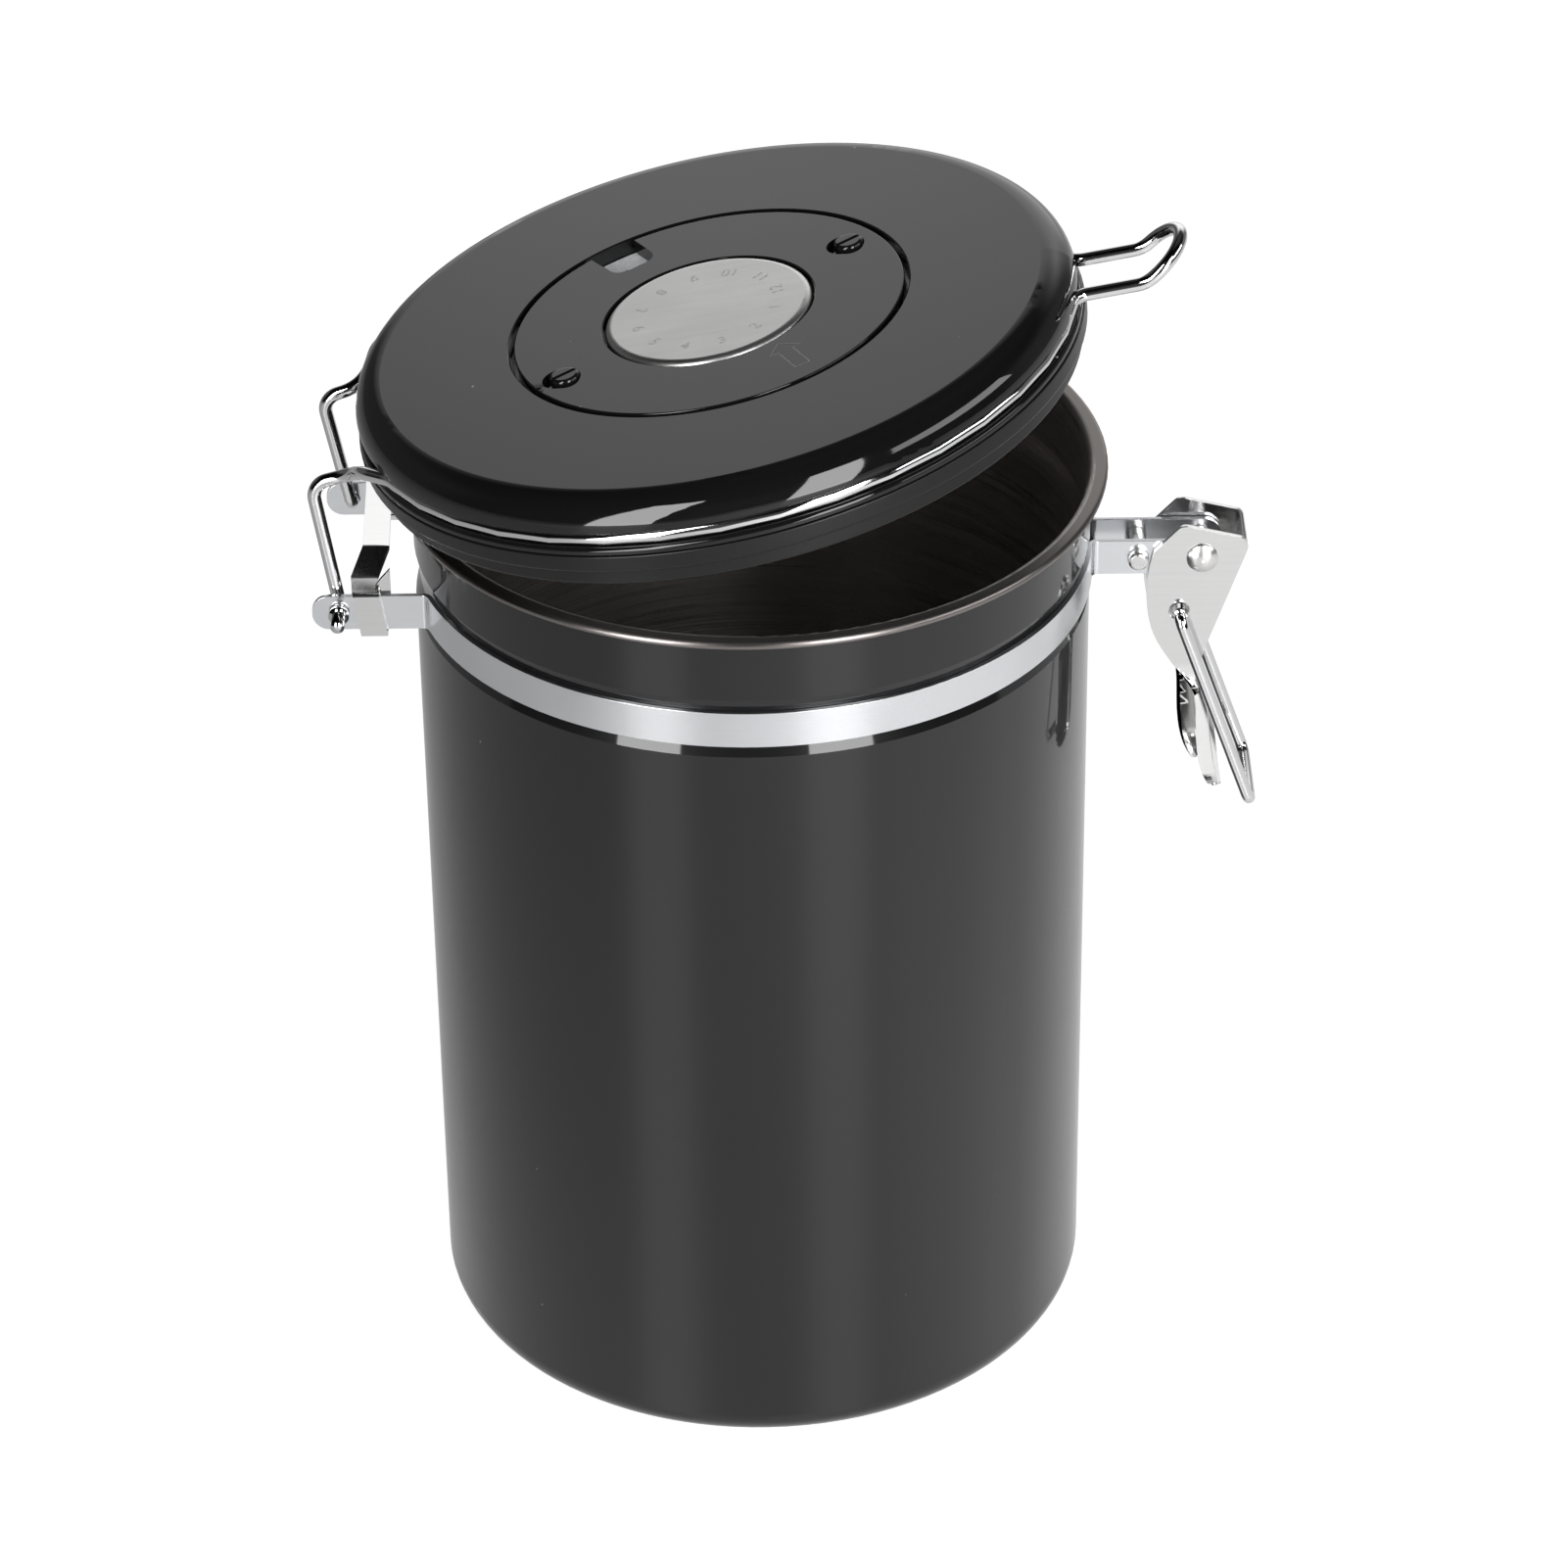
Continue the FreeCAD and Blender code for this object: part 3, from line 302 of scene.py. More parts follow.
def dust_effect():
    # Sparse pale specks that sit on glossy black surfaces.
    group, given, out = effect("dust", [("Vector", "Vector", None), ("Scale", "Float", 300.0),
                                        ("Share", "Float", 0.05)], ["Mask"])
    cells = add(group, "TexVoronoi", {"Vector": given["Vector"], "Scale": given["Scale"]})
    draw = add(group, "SeparateColor", {0: cells.outputs["Color"]})
    size = between(group, draw.outputs[1], 0.0, 1.0, SPECK_SMALL, SPECK_LARGE, smooth=False)
    spot = maths(group, "LESS_THAN", cells.outputs["Distance"], size)
    kept = maths(group, "LESS_THAN", draw.outputs[0], given["Share"])
    group.links.new(maths(group, "MULTIPLY", spot, kept), out["Mask"])
    return group


def smudge_effect():
    # Slow uneven change of gloss from wiping and handling.
    group, given, out = effect("smudges", [("Vector", "Vector", None), ("Scale", "Float", 40.0),
                                           ("Low", "Float", 0.1), ("High", "Float", 0.2)], ["Value"])
    cloud = add(group, "TexNoise", {"Vector": given["Vector"], "Scale": given["Scale"], "Detail": 4.0})
    group.links.new(spread(group, cloud.outputs["Fac"], given["Low"], given["High"]), out["Value"])
    return group


def mottle_effect():
    # Soft uneven patches of colour, cover or height.
    group, given, out = effect("mottle", [("Vector", "Vector", None), ("Scale", "Float", 18.0),
                                          ("Detail", "Float", 3.0)], ["Value"])
    settings = {"Vector": given["Vector"], "Scale": given["Scale"], "Detail": given["Detail"]}
    group.links.new(add(group, "TexNoise", settings).outputs["Fac"], out["Value"])
    return group


def drawn_lines(tree, spot, given):
    # Noise drawn out along X.
    scale = add(tree, "CombineXYZ", {0: given["Length"], 1: given["Fineness"], 2: given["Fineness"]})
    drawn = add(tree, "VectorMath", {0: spot, 1: scale.outputs[0]}, operation="MULTIPLY")
    return add(tree, "TexNoise", {"Vector": drawn.outputs[0], "Scale": 1.0, "Detail": 3.0}).outputs["Fac"]


def brushing_effect():
    # Fine lines along the vector's X axis.
    group, given, out = effect("brushing", [("Vector", "Vector", None), ("Fineness", "Float", 6000.0),
                                            ("Length", "Float", 60.0)], ["Lines"])
    group.links.new(drawn_lines(group, given["Vector"], given), out["Lines"])
    return group


def turning_effect():
    # Fine lines round the canister's axis.
    group, given, out = effect("turning", [("Vector", "Vector", None), ("Fineness", "Float", 4200.0),
                                           ("Length", "Float", 14.0)], ["Lines"])
    axis = add(group, "SeparateXYZ", {0: given["Vector"]})
    turn = maths(group, "ARCTAN2", axis.outputs["Y"], axis.outputs["X"])
    across = maths(group, "MULTIPLY", turn, TURNED_R)
    rolled = add(group, "CombineXYZ", {0: across, 1: axis.outputs["Z"], 2: 0.0}).outputs[0]
    group.links.new(drawn_lines(group, rolled, given), out["Lines"])
    return group


DUST = dust_effect()
SMUDGES = smudge_effect()
MOTTLE = mottle_effect()
BRUSHING = brushing_effect()
TURNING = turning_effect()


# Materials

def finish(name, constants):
    material = bpy.data.materials.new(name)
    material.use_nodes = True
    tree = material.node_tree
    shader = tree.nodes["Principled BSDF"]
    fill(tree, shader, constants)
    spot = add(tree, "TexCoord").outputs["Object"]
    return material, tree, shader, spot


def bump(tree, shader, height, depth):
    made = add(tree, "Bump", {"Height": height, "Distance": depth, "Strength": 1.0})
    tree.links.new(made.outputs[0], shader.inputs["Normal"])


def lid_spot(tree, spot):
    frame_of_lid = {"Vector": spot, "Location": LID_TOP, "Rotation": LID.to_euler()}
    return add(tree, "Mapping", frame_of_lid, vector_type="TEXTURE").outputs[0]


def gloss_black(name, base, dusted, low, high, dust_share, constants=None):
    # Black gloss with wiped gloss and a little dust.
    material, tree, shader, spot = finish(name, {"IOR": 1.5, **(constants or {})})
    gloss = place(tree, SMUDGES, {"Vector": spot, "Scale": WIPE_SCALE, "Low": low, "High": high})["Value"]
    dust = place(tree, DUST, {"Vector": spot, "Scale": DUST_SCALE, "Share": dust_share})["Mask"]
    cloud = place(tree, MOTTLE, {"Vector": spot, "Scale": CLOUD_SCALE, "Detail": 3.0})["Value"]
    deep = tuple(channel * CLOUD_DEEP for channel in base)
    tree.links.new(mixed(tree, dust, mixed(tree, cloud, deep, base), dusted), shader.inputs["Base Color"])
    rough = maths(tree, "ADD", gloss, maths(tree, "MULTIPLY", dust, DUST_ROUGH))
    tree.links.new(rough, shader.inputs["Roughness"])
    return material


def black_enamel():
    # Soft paint layer under a clear gloss layer.
    layers = {"Specular IOR Level": 0.08, "Coat Weight": 1.0, "Coat Roughness": 0.05}
    return gloss_black("black_enamel", (0.006, 0.006, 0.0065), (0.15, 0.15, 0.15), 0.3, 0.34, 0.006, layers)


def lid_gloss():
    return gloss_black("lid_gloss", (0.006, 0.006, 0.006), (0.3, 0.3, 0.3), 0.03, 0.06, 0.02)


def dial_black():
    return gloss_black("dial_black", (0.007, 0.007, 0.007), (0.25, 0.25, 0.25), 0.05, 0.09, 0.02)


def inner_satin():
    return gloss_black("inner_satin", (0.012, 0.012, 0.012), (0.1, 0.1, 0.1), 0.32, 0.42, 0.01)


def seal_rubber():
    dull = {"Specular IOR Level": 0.32}
    return gloss_black("seal_rubber", (0.008, 0.008, 0.008), (0.2, 0.2, 0.2), 0.24, 0.34, 0.04, dull)


def valve_rubber():
    return gloss_black("valve_rubber", (0.05, 0.05, 0.05), (0.2, 0.2, 0.2), 0.45, 0.6, 0.03)


def bare_steel(name, dark, pale, low, high):
    # Bare steel, polished round the canister.
    grain = {"Anisotropic": 0.7, "Anisotropic Rotation": 0.25}
    material, tree, shader, spot = finish(name, {"Metallic": 1.0, **grain})
    around = {"Vector": spot, "Fineness": TURNED_FINENESS, "Length": TURNED_LENGTH}
    lines = place(tree, TURNING, around)["Lines"]
    tree.links.new(mixed(tree, lines, dark, pale), shader.inputs["Base Color"])
    tree.links.new(spread(tree, lines, low, high), shader.inputs["Roughness"])
    bump(tree, shader, lines, TURNED_DEPTH)
    return material


def steel(name, colour, low, high, line_depth, wave_depth):
    # Polished sheet or wire with faint drawing lines and handling marks.
    material, tree, shader, spot = finish(name, {"Metallic": 1.0})
    gloss = place(tree, SMUDGES, {"Vector": spot, "Scale": HANDLED_SCALE, "Low": low, "High": high})["Value"]
    along = {"Vector": spot, "Fineness": DRAWN_FINENESS, "Length": DRAWN_LENGTH}
    lines = place(tree, BRUSHING, along)["Lines"]
    waves = place(tree, MOTTLE, {"Vector": spot, "Scale": WAVE_SCALE, "Detail": 1.0})["Value"]
    dull = tuple(channel * DRAWN_DULL for channel in colour)
    tree.links.new(mixed(tree, lines, dull, colour), shader.inputs["Base Color"])
    tree.links.new(gloss, shader.inputs["Roughness"])
    scored = maths(tree, "MULTIPLY", lines, line_depth)
    height = maths(tree, "ADD", scored, maths(tree, "MULTIPLY", waves, wave_depth))
    bump(tree, shader, height, 1.0)
    return material


def disc_steel():
    # Straight-brushed disc in the middle of the dial.
    material, tree, shader, spot = finish("disc_steel", {"Metallic": 1.0})
    local = lid_spot(tree, spot)
    along = {"Vector": local, "Fineness": DISC_FINENESS, "Length": DISC_LENGTH}
    lines = place(tree, BRUSHING, along)["Lines"]
    cloud = place(tree, SMUDGES, {"Vector": local, "Scale": DISC_SMUDGES, "Low": 0.3, "High": 0.33})["Value"]
    tree.links.new(mixed(tree, lines, (0.64, 0.635, 0.63), (0.71, 0.705, 0.7)), shader.inputs["Base Color"])
    rough = maths(tree, "ADD", cloud, spread(tree, lines, -0.02, 0.03))
    tree.links.new(rough, shader.inputs["Roughness"])
    bump(tree, shader, lines, DISC_LINE_DEPTH)
    return material


def dial_face():
    material, tree, shader, spot = finish("dial_face", {"IOR": 1.48})
    grain = place(tree, MOTTLE, {"Vector": spot, "Scale": DIAL_GRAIN, "Detail": 4.0})["Value"]
    tree.links.new(mixed(tree, grain, (0.8, 0.81, 0.83), (0.88, 0.89, 0.91)), shader.inputs["Base Color"])
    tree.links.new(spread(tree, grain, 0.2, 0.3), shader.inputs["Roughness"])
    return material


def ink(name, thin, thick, metallic, rough):
    # Thin print or etching with uneven cover.
    material, tree, shader, spot = finish(name, {"Metallic": metallic})
    cover = place(tree, MOTTLE, {"Vector": spot, "Scale": INK_GRAIN, "Detail": 3.0})["Value"]
    tree.links.new(mixed(tree, cover, thin, thick), shader.inputs["Base Color"])
    tree.links.new(spread(tree, cover, rough, rough + INK_UNEVEN), shader.inputs["Roughness"])
    return material


ENAMEL = black_enamel()
INSIDE = bare_steel("inside_steel", (0.46, 0.43, 0.42), (0.66, 0.62, 0.605), 0.26, 0.38)
RIM = bare_steel("rim_steel", (0.2, 0.185, 0.178), (0.3, 0.275, 0.265), 0.28, 0.36)
BAND = steel("band_polish", (0.84, 0.85, 0.875), 0.18, 0.26, 0.0008 * MM, 0.004 * MM)
SHEET = steel("sheet_polish", (0.86, 0.858, 0.855), 0.08, 0.15, 0.0008 * MM, 0.02 * MM)
RIVETED = steel("rivet_satin", (0.8, 0.79, 0.785), 0.24, 0.3, 0.0008 * MM, 0.004 * MM)
WIRE = steel("wire_chrome", (0.82, 0.82, 0.83), 0.05, 0.09, 0.0004 * MM, 0.002 * MM)
LID_GLOSS = lid_gloss()
INNER = inner_satin()
SEAL = seal_rubber()
FLAP = valve_rubber()
DIAL = dial_black()
FACE = dial_face()
DISC = disc_steel()
ETCHED = ink("etched_numbers", (0.57, 0.565, 0.56), (0.64, 0.635, 0.63), 1.0, 0.32)
PRINT = ink("pale_print", (0.16, 0.135, 0.14), (0.24, 0.205, 0.21), 0.0, 0.3)
DAY_INK = ink("dark_print", (0.012, 0.012, 0.013), (0.03, 0.03, 0.032), 0.0, 0.45)


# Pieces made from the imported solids

FINISH_OF = {
    "month_disc": DISC,
    "disc_carrier": DIAL,
    "valve_seat": INNER,
    "valve_flap": FLAP,
    "valve_grille": INNER,
}

EDGED_FINISH_OF = {
    "front_band": (BAND, 0.2 * MM),
    "rear_band": (BAND, 0.2 * MM),
    "hinge_strap": (SHEET, 0.18 * MM),
    "clamp_pin": (RIVETED, 0.15 * MM),
    "latch_rivet": (RIVETED, 0.2 * MM),
    "latch_lever": (SHEET, 0.18 * MM),
    "lid_base": (LID_GLOSS, 0.2 * MM),
    "inner_plate": (INNER, 0.15 * MM),
    "lid_gasket": (SEAL, 0.25 * MM),
    "day_dial": (FACE, 0.08 * MM),
    "date_ring": (DIAL, 0.15 * MM),
    "ring_pegs": (DIAL, 0.28 * MM),
}

SHAPED = ("latch_lever", "date_ring", "hinge_strap")


def put(name, data):
    made = bpy.data.objects.new(name, data)
    bpy.context.scene.collection.objects.link(made)
    return made


def as_mesh(bm, name):
    mesh = bpy.data.meshes.new(name)
    bm.to_mesh(mesh)
    bm.free()
    return mesh


def finished(node):
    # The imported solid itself, with a full finish.
    solid = frame["nodes"][node]
    solid.data.materials.clear()
    solid.data.materials.append(FINISH_OF[node])


def sharp_edges(bm):
    found = []
    for edge in bm.edges:
        if len(edge.link_faces) == 2 and edge.calc_face_angle(0.0) > EDGE_ANGLE:
            found.append(edge)
    return found


def round_edges(bm, width):
    bmesh.ops.bevel(bm, geom=sharp_edges(bm), offset=width, offset_type="OFFSET", segments=EDGE_STEPS,
                    profile=EDGE_ROUND, affect="EDGES", clamp_overlap=True)


def softened(node, width):
    # The solid's mesh with welded seams and narrow rounded edges.
    bm = bmesh.new()
    bm.from_mesh(frame["nodes"][node].data)
    bmesh.ops.remove_doubles(bm, verts=bm.verts, dist=WELD)
    bmesh.ops.dissolve_limit(bm, angle_limit=FLAT_ANGLE, verts=bm.verts, edges=bm.edges)
    round_edges(bm, width)
    bmesh.ops.remove_doubles(bm, verts=bm.verts, dist=WELD)
    bmesh.ops.recalc_face_normals(bm, faces=bm.faces)
    mesh = as_mesh(bm, node)
    mesh.shade_smooth()
    mesh.set_sharp_from_angle(angle=SMOOTH_ANGLE)
    return mesh


def shown(name, mesh, material, body):
    piece = put(name, mesh)
    if not mesh.materials:
        mesh.materials.append(material)
    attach(piece, body)
    return piece


def coat(face, rim):
    # Paint outside, bare steel on the rolled rim and inside.
    spot = face.center
    inward = spot.x * face.normal.x + spot.y * face.normal.y < FACING_IN
    bottom = face.normal.z > FACING and spot.z < rim / 2
    if spot.z > rim - RIM_LIP:
        return RIM_SLOT
    return INSIDE_SLOT if inward or bottom else PAINT_SLOT


def dressed(node):
    material, width = EDGED_FINISH_OF[node]
    mesh = softened(node, width)
    piece = shown(node + "_piece", mesh, material, BODY_OF[node])
    even = piece.modifiers.new("even normals", "WEIGHTED_NORMAL")
    even.keep_sharp = True
    even.weight = EVEN_WEIGHT
    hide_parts(node)
    return piece


def shoulder(mesh):
    # Below the band the wall slopes out of its groove at one angle.
    low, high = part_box("front_band")
    foot = (low.z + high.z) / 2 - GROOVE_HALF
    normals = [Vector(corner.vector) for corner in mesh.corner_normals]
    wall = max(vertex.co.x for vertex in mesh.vertices if vertex.co.z < foot)
    moved = set()
    for face in mesh.polygons:
        around = Vector((face.center.x, face.center.y, 0)).normalized()
        outside = face.normal.dot(around) >= FACING
        if not outside or not foot < face.center.z < foot + SHOULDER_TALL:
            continue
        for index in face.loop_indices:
            vertex = mesh.vertices[mesh.loops[index].vertex_index]
            around = Vector((vertex.co.x, vertex.co.y, 0)).normalized()
            normals[index] = around * math.cos(SHOULDER_SLOPE) + Vector((0, 0, math.sin(SHOULDER_SLOPE)))
            moved.add(vertex.index)
    for index in moved:
        spot = mesh.vertices[index].co
        reach = wall - max(spot.z - foot, 0.0) * math.tan(SHOULDER_SLOPE)
        around = Vector((spot.x, spot.y, 0)).normalized() * reach
        mesh.vertices[index].co = (around.x, around.y, spot.z)
    mesh.normals_split_custom_set(normals)


def lid_cap():
    # The cap's recess fits closely round the date ring.
    mesh = frame["nodes"]["lid_cap"].data.copy()
    mesh.name = "lid_cap_piece"
    mesh.materials.clear()
    to_lid = LID.inverted()
    for vertex in mesh.vertices:
        spot = to_lid @ vertex.co
        reach = math.hypot(spot.x, spot.y)
        if RECESS_R - WELD < reach < RECESS_R + RECESS_BEVEL + WELD:
            grown = RECESS_IN + (reach - RECESS_R) * RECESS_KEPT
            high = spot.z * RECESS_KEPT if spot.z > -RECESS_BEVEL - WELD else spot.z
            vertex.co = LID @ Vector((spot.x * grown / reach, spot.y * grown / reach, high))
    piece = shown("lid_cap_piece", mesh, LID_GLOSS, "lid")
    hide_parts("lid_cap")


def ring_profile(reach, high):
    # Crisp outer edge and a close hole round the middle disc.
    if reach > RING_EDGE_R - WELD and high > -RING_EDGE - WELD:
        share = RING_SHARP / RING_EDGE
        grown = RING_OUT - RING_SHARP + (reach - RING_EDGE_R) * share
        return grown, (high + RING_EDGE) * share - RING_SHARP
    if reach > RING_EDGE_R:
        return reach + RING_GROWS, high
    if abs(reach - RING_HOLE) < HOLE_BEVEL + HOLE_REACH:
        level = high * HOLE_KEPT if high > -HOLE_BEVEL else high + HOLE_BEVEL * (1 - HOLE_KEPT)
        return HOLE_IN + (reach - RING_HOLE) * HOLE_KEPT, level if high > -2 * HOLE_BEVEL else high
    return reach, high


def date_ring():
    piece = dressed("date_ring")
    to_lid = LID.inverted()
    for vertex in piece.data.vertices:
        spot = to_lid @ vertex.co
        reach = math.hypot(spot.x, spot.y)
        if min(math.hypot(spot.x - x, spot.y - y) for x, y in PEG_SPOTS) < PEG_DISH:
            continue
        grown, high = ring_profile(reach, spot.z)
        vertex.co = LID @ Vector((spot.x * grown / reach, spot.y * grown / reach, high))


def cut_across(bm, axis, places, below=None):
    # Adds edges where planes cross the mesh, so that it can be bent there.
    normal = Vector((axis == "x", axis == "y", axis == "z"))
    for place_at in places:
        faces = [face for face in bm.faces if below is None or face.calc_center_median().z < below]
        geometry = set(faces)
        for face in faces:
            geometry.update(face.edges)
            geometry.update(face.verts)
        bmesh.ops.bisect_plane(bm, geom=list(geometry), plane_co=normal * place_at, plane_no=normal)


def strap_lift(y):
    # Share of the strap's rise and shift at a place along it.
    if y < STRAP_FOLD_Y:
        return (y - STRAP_STEP_Y) / (STRAP_FOLD_Y - STRAP_STEP_Y)
    return (STRAP_FAR_Y - y) / (STRAP_FAR_Y - STRAP_FOLD_Y)


def hinge_strap():
    # The strap's middle stands up and steps down to the front ear.
    piece = dressed("hinge_strap")
    bm = bmesh.new()
    bm.from_mesh(piece.data)
    folds = [STRAP_FAR_Y]
    for fold in (STRAP_FOLD_Y, STRAP_STEP_Y):
        folds += [fold - STRAP_FOLD_R, fold, fold + STRAP_FOLD_R]
    cut_across(bm, "y", folds)
    for vertex in bm.verts:
        lift = strap_lift(vertex.co.y)
        if lift > 0:
            vertex.co.y -= STRAP_FOLD_ON * lift
            vertex.co.z += STRAP_FOLD_UP * lift
    bm.to_mesh(piece.data)
    bm.free()


def twist_tail(bm):
    # The tail turns a little, so that its hollow shows from the front.
    tail = [vertex for vertex in bm.verts if vertex.co.z < TAIL_TOP]
    middle = sum(vertex.co.x for vertex in tail) / len(tail)
    for vertex in tail:
        share = min(1.0, (TAIL_TOP - vertex.co.z) / TAIL_TWIST_RUN)
        across = Vector((vertex.co.x - middle, vertex.co.y, 0))
        spot = Matrix.Rotation(TAIL_TWIST * share, 3, "Z") @ across
        vertex.co.x = middle + spot.x
        vertex.co.y = spot.y


def dish_tail(mesh):
    # Spoon-shaped thumb tail, hollow towards the canister.
    bm = bmesh.new()
    bm.from_mesh(mesh)
    levels = [TAIL_TOP - i * (TAIL_TOP - TAIL_TIP) / TAIL_ROWS for i in range(1, TAIL_ROWS)]
    columns = [i * TAIL_HALF / TAIL_COLUMNS for i in range(1 - TAIL_COLUMNS, TAIL_COLUMNS)]
    cut_across(bm, "z", [TAIL_TOP])
    cut_across(bm, "z", levels, TAIL_TOP)
    cut_across(bm, "y", columns, TAIL_TOP)
    bm.normal_update()
    inner = {vertex for vertex in bm.verts if vertex.normal.x < TAIL_INNER}
    for vertex in bm.verts:
        down = (TAIL_TOP - vertex.co.z) / (TAIL_TOP - TAIL_TIP)
        if 0 < down < 1:
            across = 1 - (vertex.co.y / TAIL_HALF) ** 2
            bowl = math.sin(math.pi * down)
            vertex.co.x += TAIL_DISH * across * bowl
            if vertex in inner:
                vertex.co.x += TAIL_THIN * math.sqrt(bowl)
    twist_tail(bm)
    bm.to_mesh(mesh)
    bm.free()


def swing(centre, first, last):
    # Points on the arc between two spokes of equal length.
    axis, angle = first.rotation_difference(last).to_axis_angle()
    count = max(2, math.ceil(angle / BEND_STEP))
    return [centre + Matrix.Rotation(angle * i / count, 3, axis) @ first for i in range(count + 1)]


def rounded(points, radii):
    # Straight runs joined by round bends at the inner points.
    path = [points[0]]
    for before, corner, after, radius in zip(points, points[1:], points[2:], radii):
        back = (before - corner).normalized()
        ahead = (after - corner).normalized()
        half = back.angle(ahead) / 2
        reach = radius / math.tan(half)
        centre = corner + (back + ahead).normalized() * (radius / math.sin(half))
        path += swing(centre, corner + back * reach - centre, corner + ahead * reach - centre)
    return path + [points[-1]]


def sweep(bm, path, radius):
    # Round wire along a path.
    path = [spot for i, spot in enumerate(path) if i == 0 or (spot - path[i - 1]).length > WELD]
    turns = [2 * math.pi * i / TUBE_SIDES for i in range(TUBE_SIDES)]
    side = (path[1] - path[0]).orthogonal().normalized()
    rings = []
    for i, spot in enumerate(path):
        along = (path[min(i + 1, len(path) - 1)] - path[max(i - 1, 0)]).normalized()
        side = (side - along * side.dot(along)).normalized()
        other = along.cross(side)
        spokes = [side * math.cos(turn) + other * math.sin(turn) for turn in turns]
        rings.append([bm.verts.new(spot + spoke * radius) for spoke in spokes])
    for first, second in zip(rings, rings[1:]):
        for i in range(TUBE_SIDES):
            j = (i + 1) % TUBE_SIDES
            bm.faces.new((first[i], first[j], second[j], second[i]))
    bm.faces.new(rings[0][::-1])
    bm.faces.new(rings[-1])


def wire_piece(name, node, runs, place_at):
    bm = bmesh.new()
    for path, radius in runs:
        sweep(bm, path, radius)
    round_edges(bm, WIRE_END)
    bmesh.ops.recalc_face_normals(bm, faces=bm.faces)
    mesh = as_mesh(bm, name)
    mesh.transform(place_at)
    mesh.shade_smooth()
    piece = shown(name, mesh, WIRE, BODY_OF[node])
    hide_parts(node)


def lid_wire():
    # Pin, leg, ring in the slot and half the loop, then the same again mirrored.
    half = rounded([Vector(spot) * MM for spot in WIRE_LEG], [bend * MM for bend in WIRE_LEG_BENDS])
    level = Vector((0, 0, WIRE_LEVEL))
    turn_mid = Vector((LOOP_TURN_X, LOOP_TURN_Y, WIRE_LEVEL))
    onto = (turn_mid - level).normalized() * WIRE_RING
    half += swing(level, half[-1] - level, onto)
    half += swing(turn_mid, level + onto - turn_mid, Vector((0, LOOP_TURN_R, 0)))
    knee = Vector((LOOP_X, -LOOP_Y, WIRE_LEVEL))
    rise = Vector((math.cos(LOOP_RISE), 0, math.sin(LOOP_RISE)))
    half += rounded([half[-1], knee, knee + rise * LOOP_RUN], [LOOP_BEND])[1:]
    hub = Vector((LOOP_X, 0, WIRE_LEVEL)) + rise * LOOP_RUN
    half += swing(hub, Vector((0, -LOOP_Y, 0)), rise * LOOP_Y)
    whole = half + [Vector((spot.x, -spot.y, spot.z)) for spot in reversed(half)]
    runs = [(whole, LID_WIRE_R)]
    for side in (-1, 1):
        near = Vector((half[0].x, side * PIN_STOP_Y, half[0].z))
        runs.append(([near, near + Vector((0, side * PIN_STOP_LONG, 0))], PIN_STOP_R))
    wire_piece("lid_wire_piece", "lid_wire", runs, LID)


def latch_bail():
    pivot = Vector(JOINTS["bail_pivot"]["pos_m"])
    drop = Vector((math.sin(BAIL_LEAN), 0, -math.cos(BAIL_LEAN))) * BAIL_LONG
    side = Vector((0, BAIL_SIDE, 0))
    pin = Vector((0, BAIL_PIN_END, 0))
    near = [pivot - pin, pivot - side, pivot + drop - side]
    far = [pivot + drop + side, pivot + side, pivot + pin]
    path = rounded(near + far, [bend * MM for bend in BAIL_BENDS])
    wire_piece("latch_bail_piece", "latch_bail", [(path, BAIL_R)], Matrix.Identity(4))


def canister():
    mesh = frame["nodes"]["canister_body"].data.copy()
    mesh.name = "canister"
    shoulder(mesh)
    mesh.materials.clear()
    for material in (ENAMEL, INSIDE, RIM):
        mesh.materials.append(material)
    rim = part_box("canister_body")[1].z
    for face in mesh.polygons:
        face.material_index = coat(face, rim)
    piece = shown("canister", mesh, ENAMEL, BODY_OF["canister_body"])
    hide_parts("canister_body")


def lever():
    # The bail's ends hang in roomy holes in the lever's cheeks.
    piece = dressed("latch_lever")
    bm = bmesh.new()
    bmesh.ops.create_cone(bm, cap_ends=True, segments=BAIL_HOLE_SIDES, radius1=BAIL_HOLE_R,
                          radius2=BAIL_HOLE_R, depth=BAIL_HOLE_REACH)
    hole = as_mesh(bm, "bail_hole")
    pivot = Matrix.Translation(JOINTS["bail_pivot"]["pos_m"])
    hole.transform(pivot @ Matrix.Rotation(math.pi / 2, 4, "X"))
    solid = put("lever_solid", piece.data)
    cutter = put("bail_hole", hole)
    cut = solid.modifiers.new("bail hole", "BOOLEAN")
    cut.object = cutter
    cut.solver = "EXACT"
    ready = solid.evaluated_get(bpy.context.evaluated_depsgraph_get())
    piece.data = bpy.data.meshes.new_from_object(ready)
    dish_tail(piece.data)
    for made in (solid, cutter):
        bpy.data.objects.remove(made)


canister()
lever()
lid_cap()
date_ring()
hinge_strap()
lid_wire()
latch_bail()
for name in FINISH_OF:
    finished(name)
for name in EDGED_FINISH_OF:
    if name not in SHAPED:
        dressed(name)


# Printed and etched marks

def lettered(text, tall):
    curve = bpy.data.curves.new("mark", "FONT")
    curve.body = text
    curve.size = tall
    curve.align_x = "CENTER"
    curve.align_y = "CENTER"
    curve.extrude = PRINT_T
    holder = put("mark", curve)
    bpy.context.view_layer.update()
    mesh = bpy.data.meshes.new_from_object(holder)
    bpy.data.objects.remove(holder)
    bpy.data.curves.remove(curve)
    return mesh


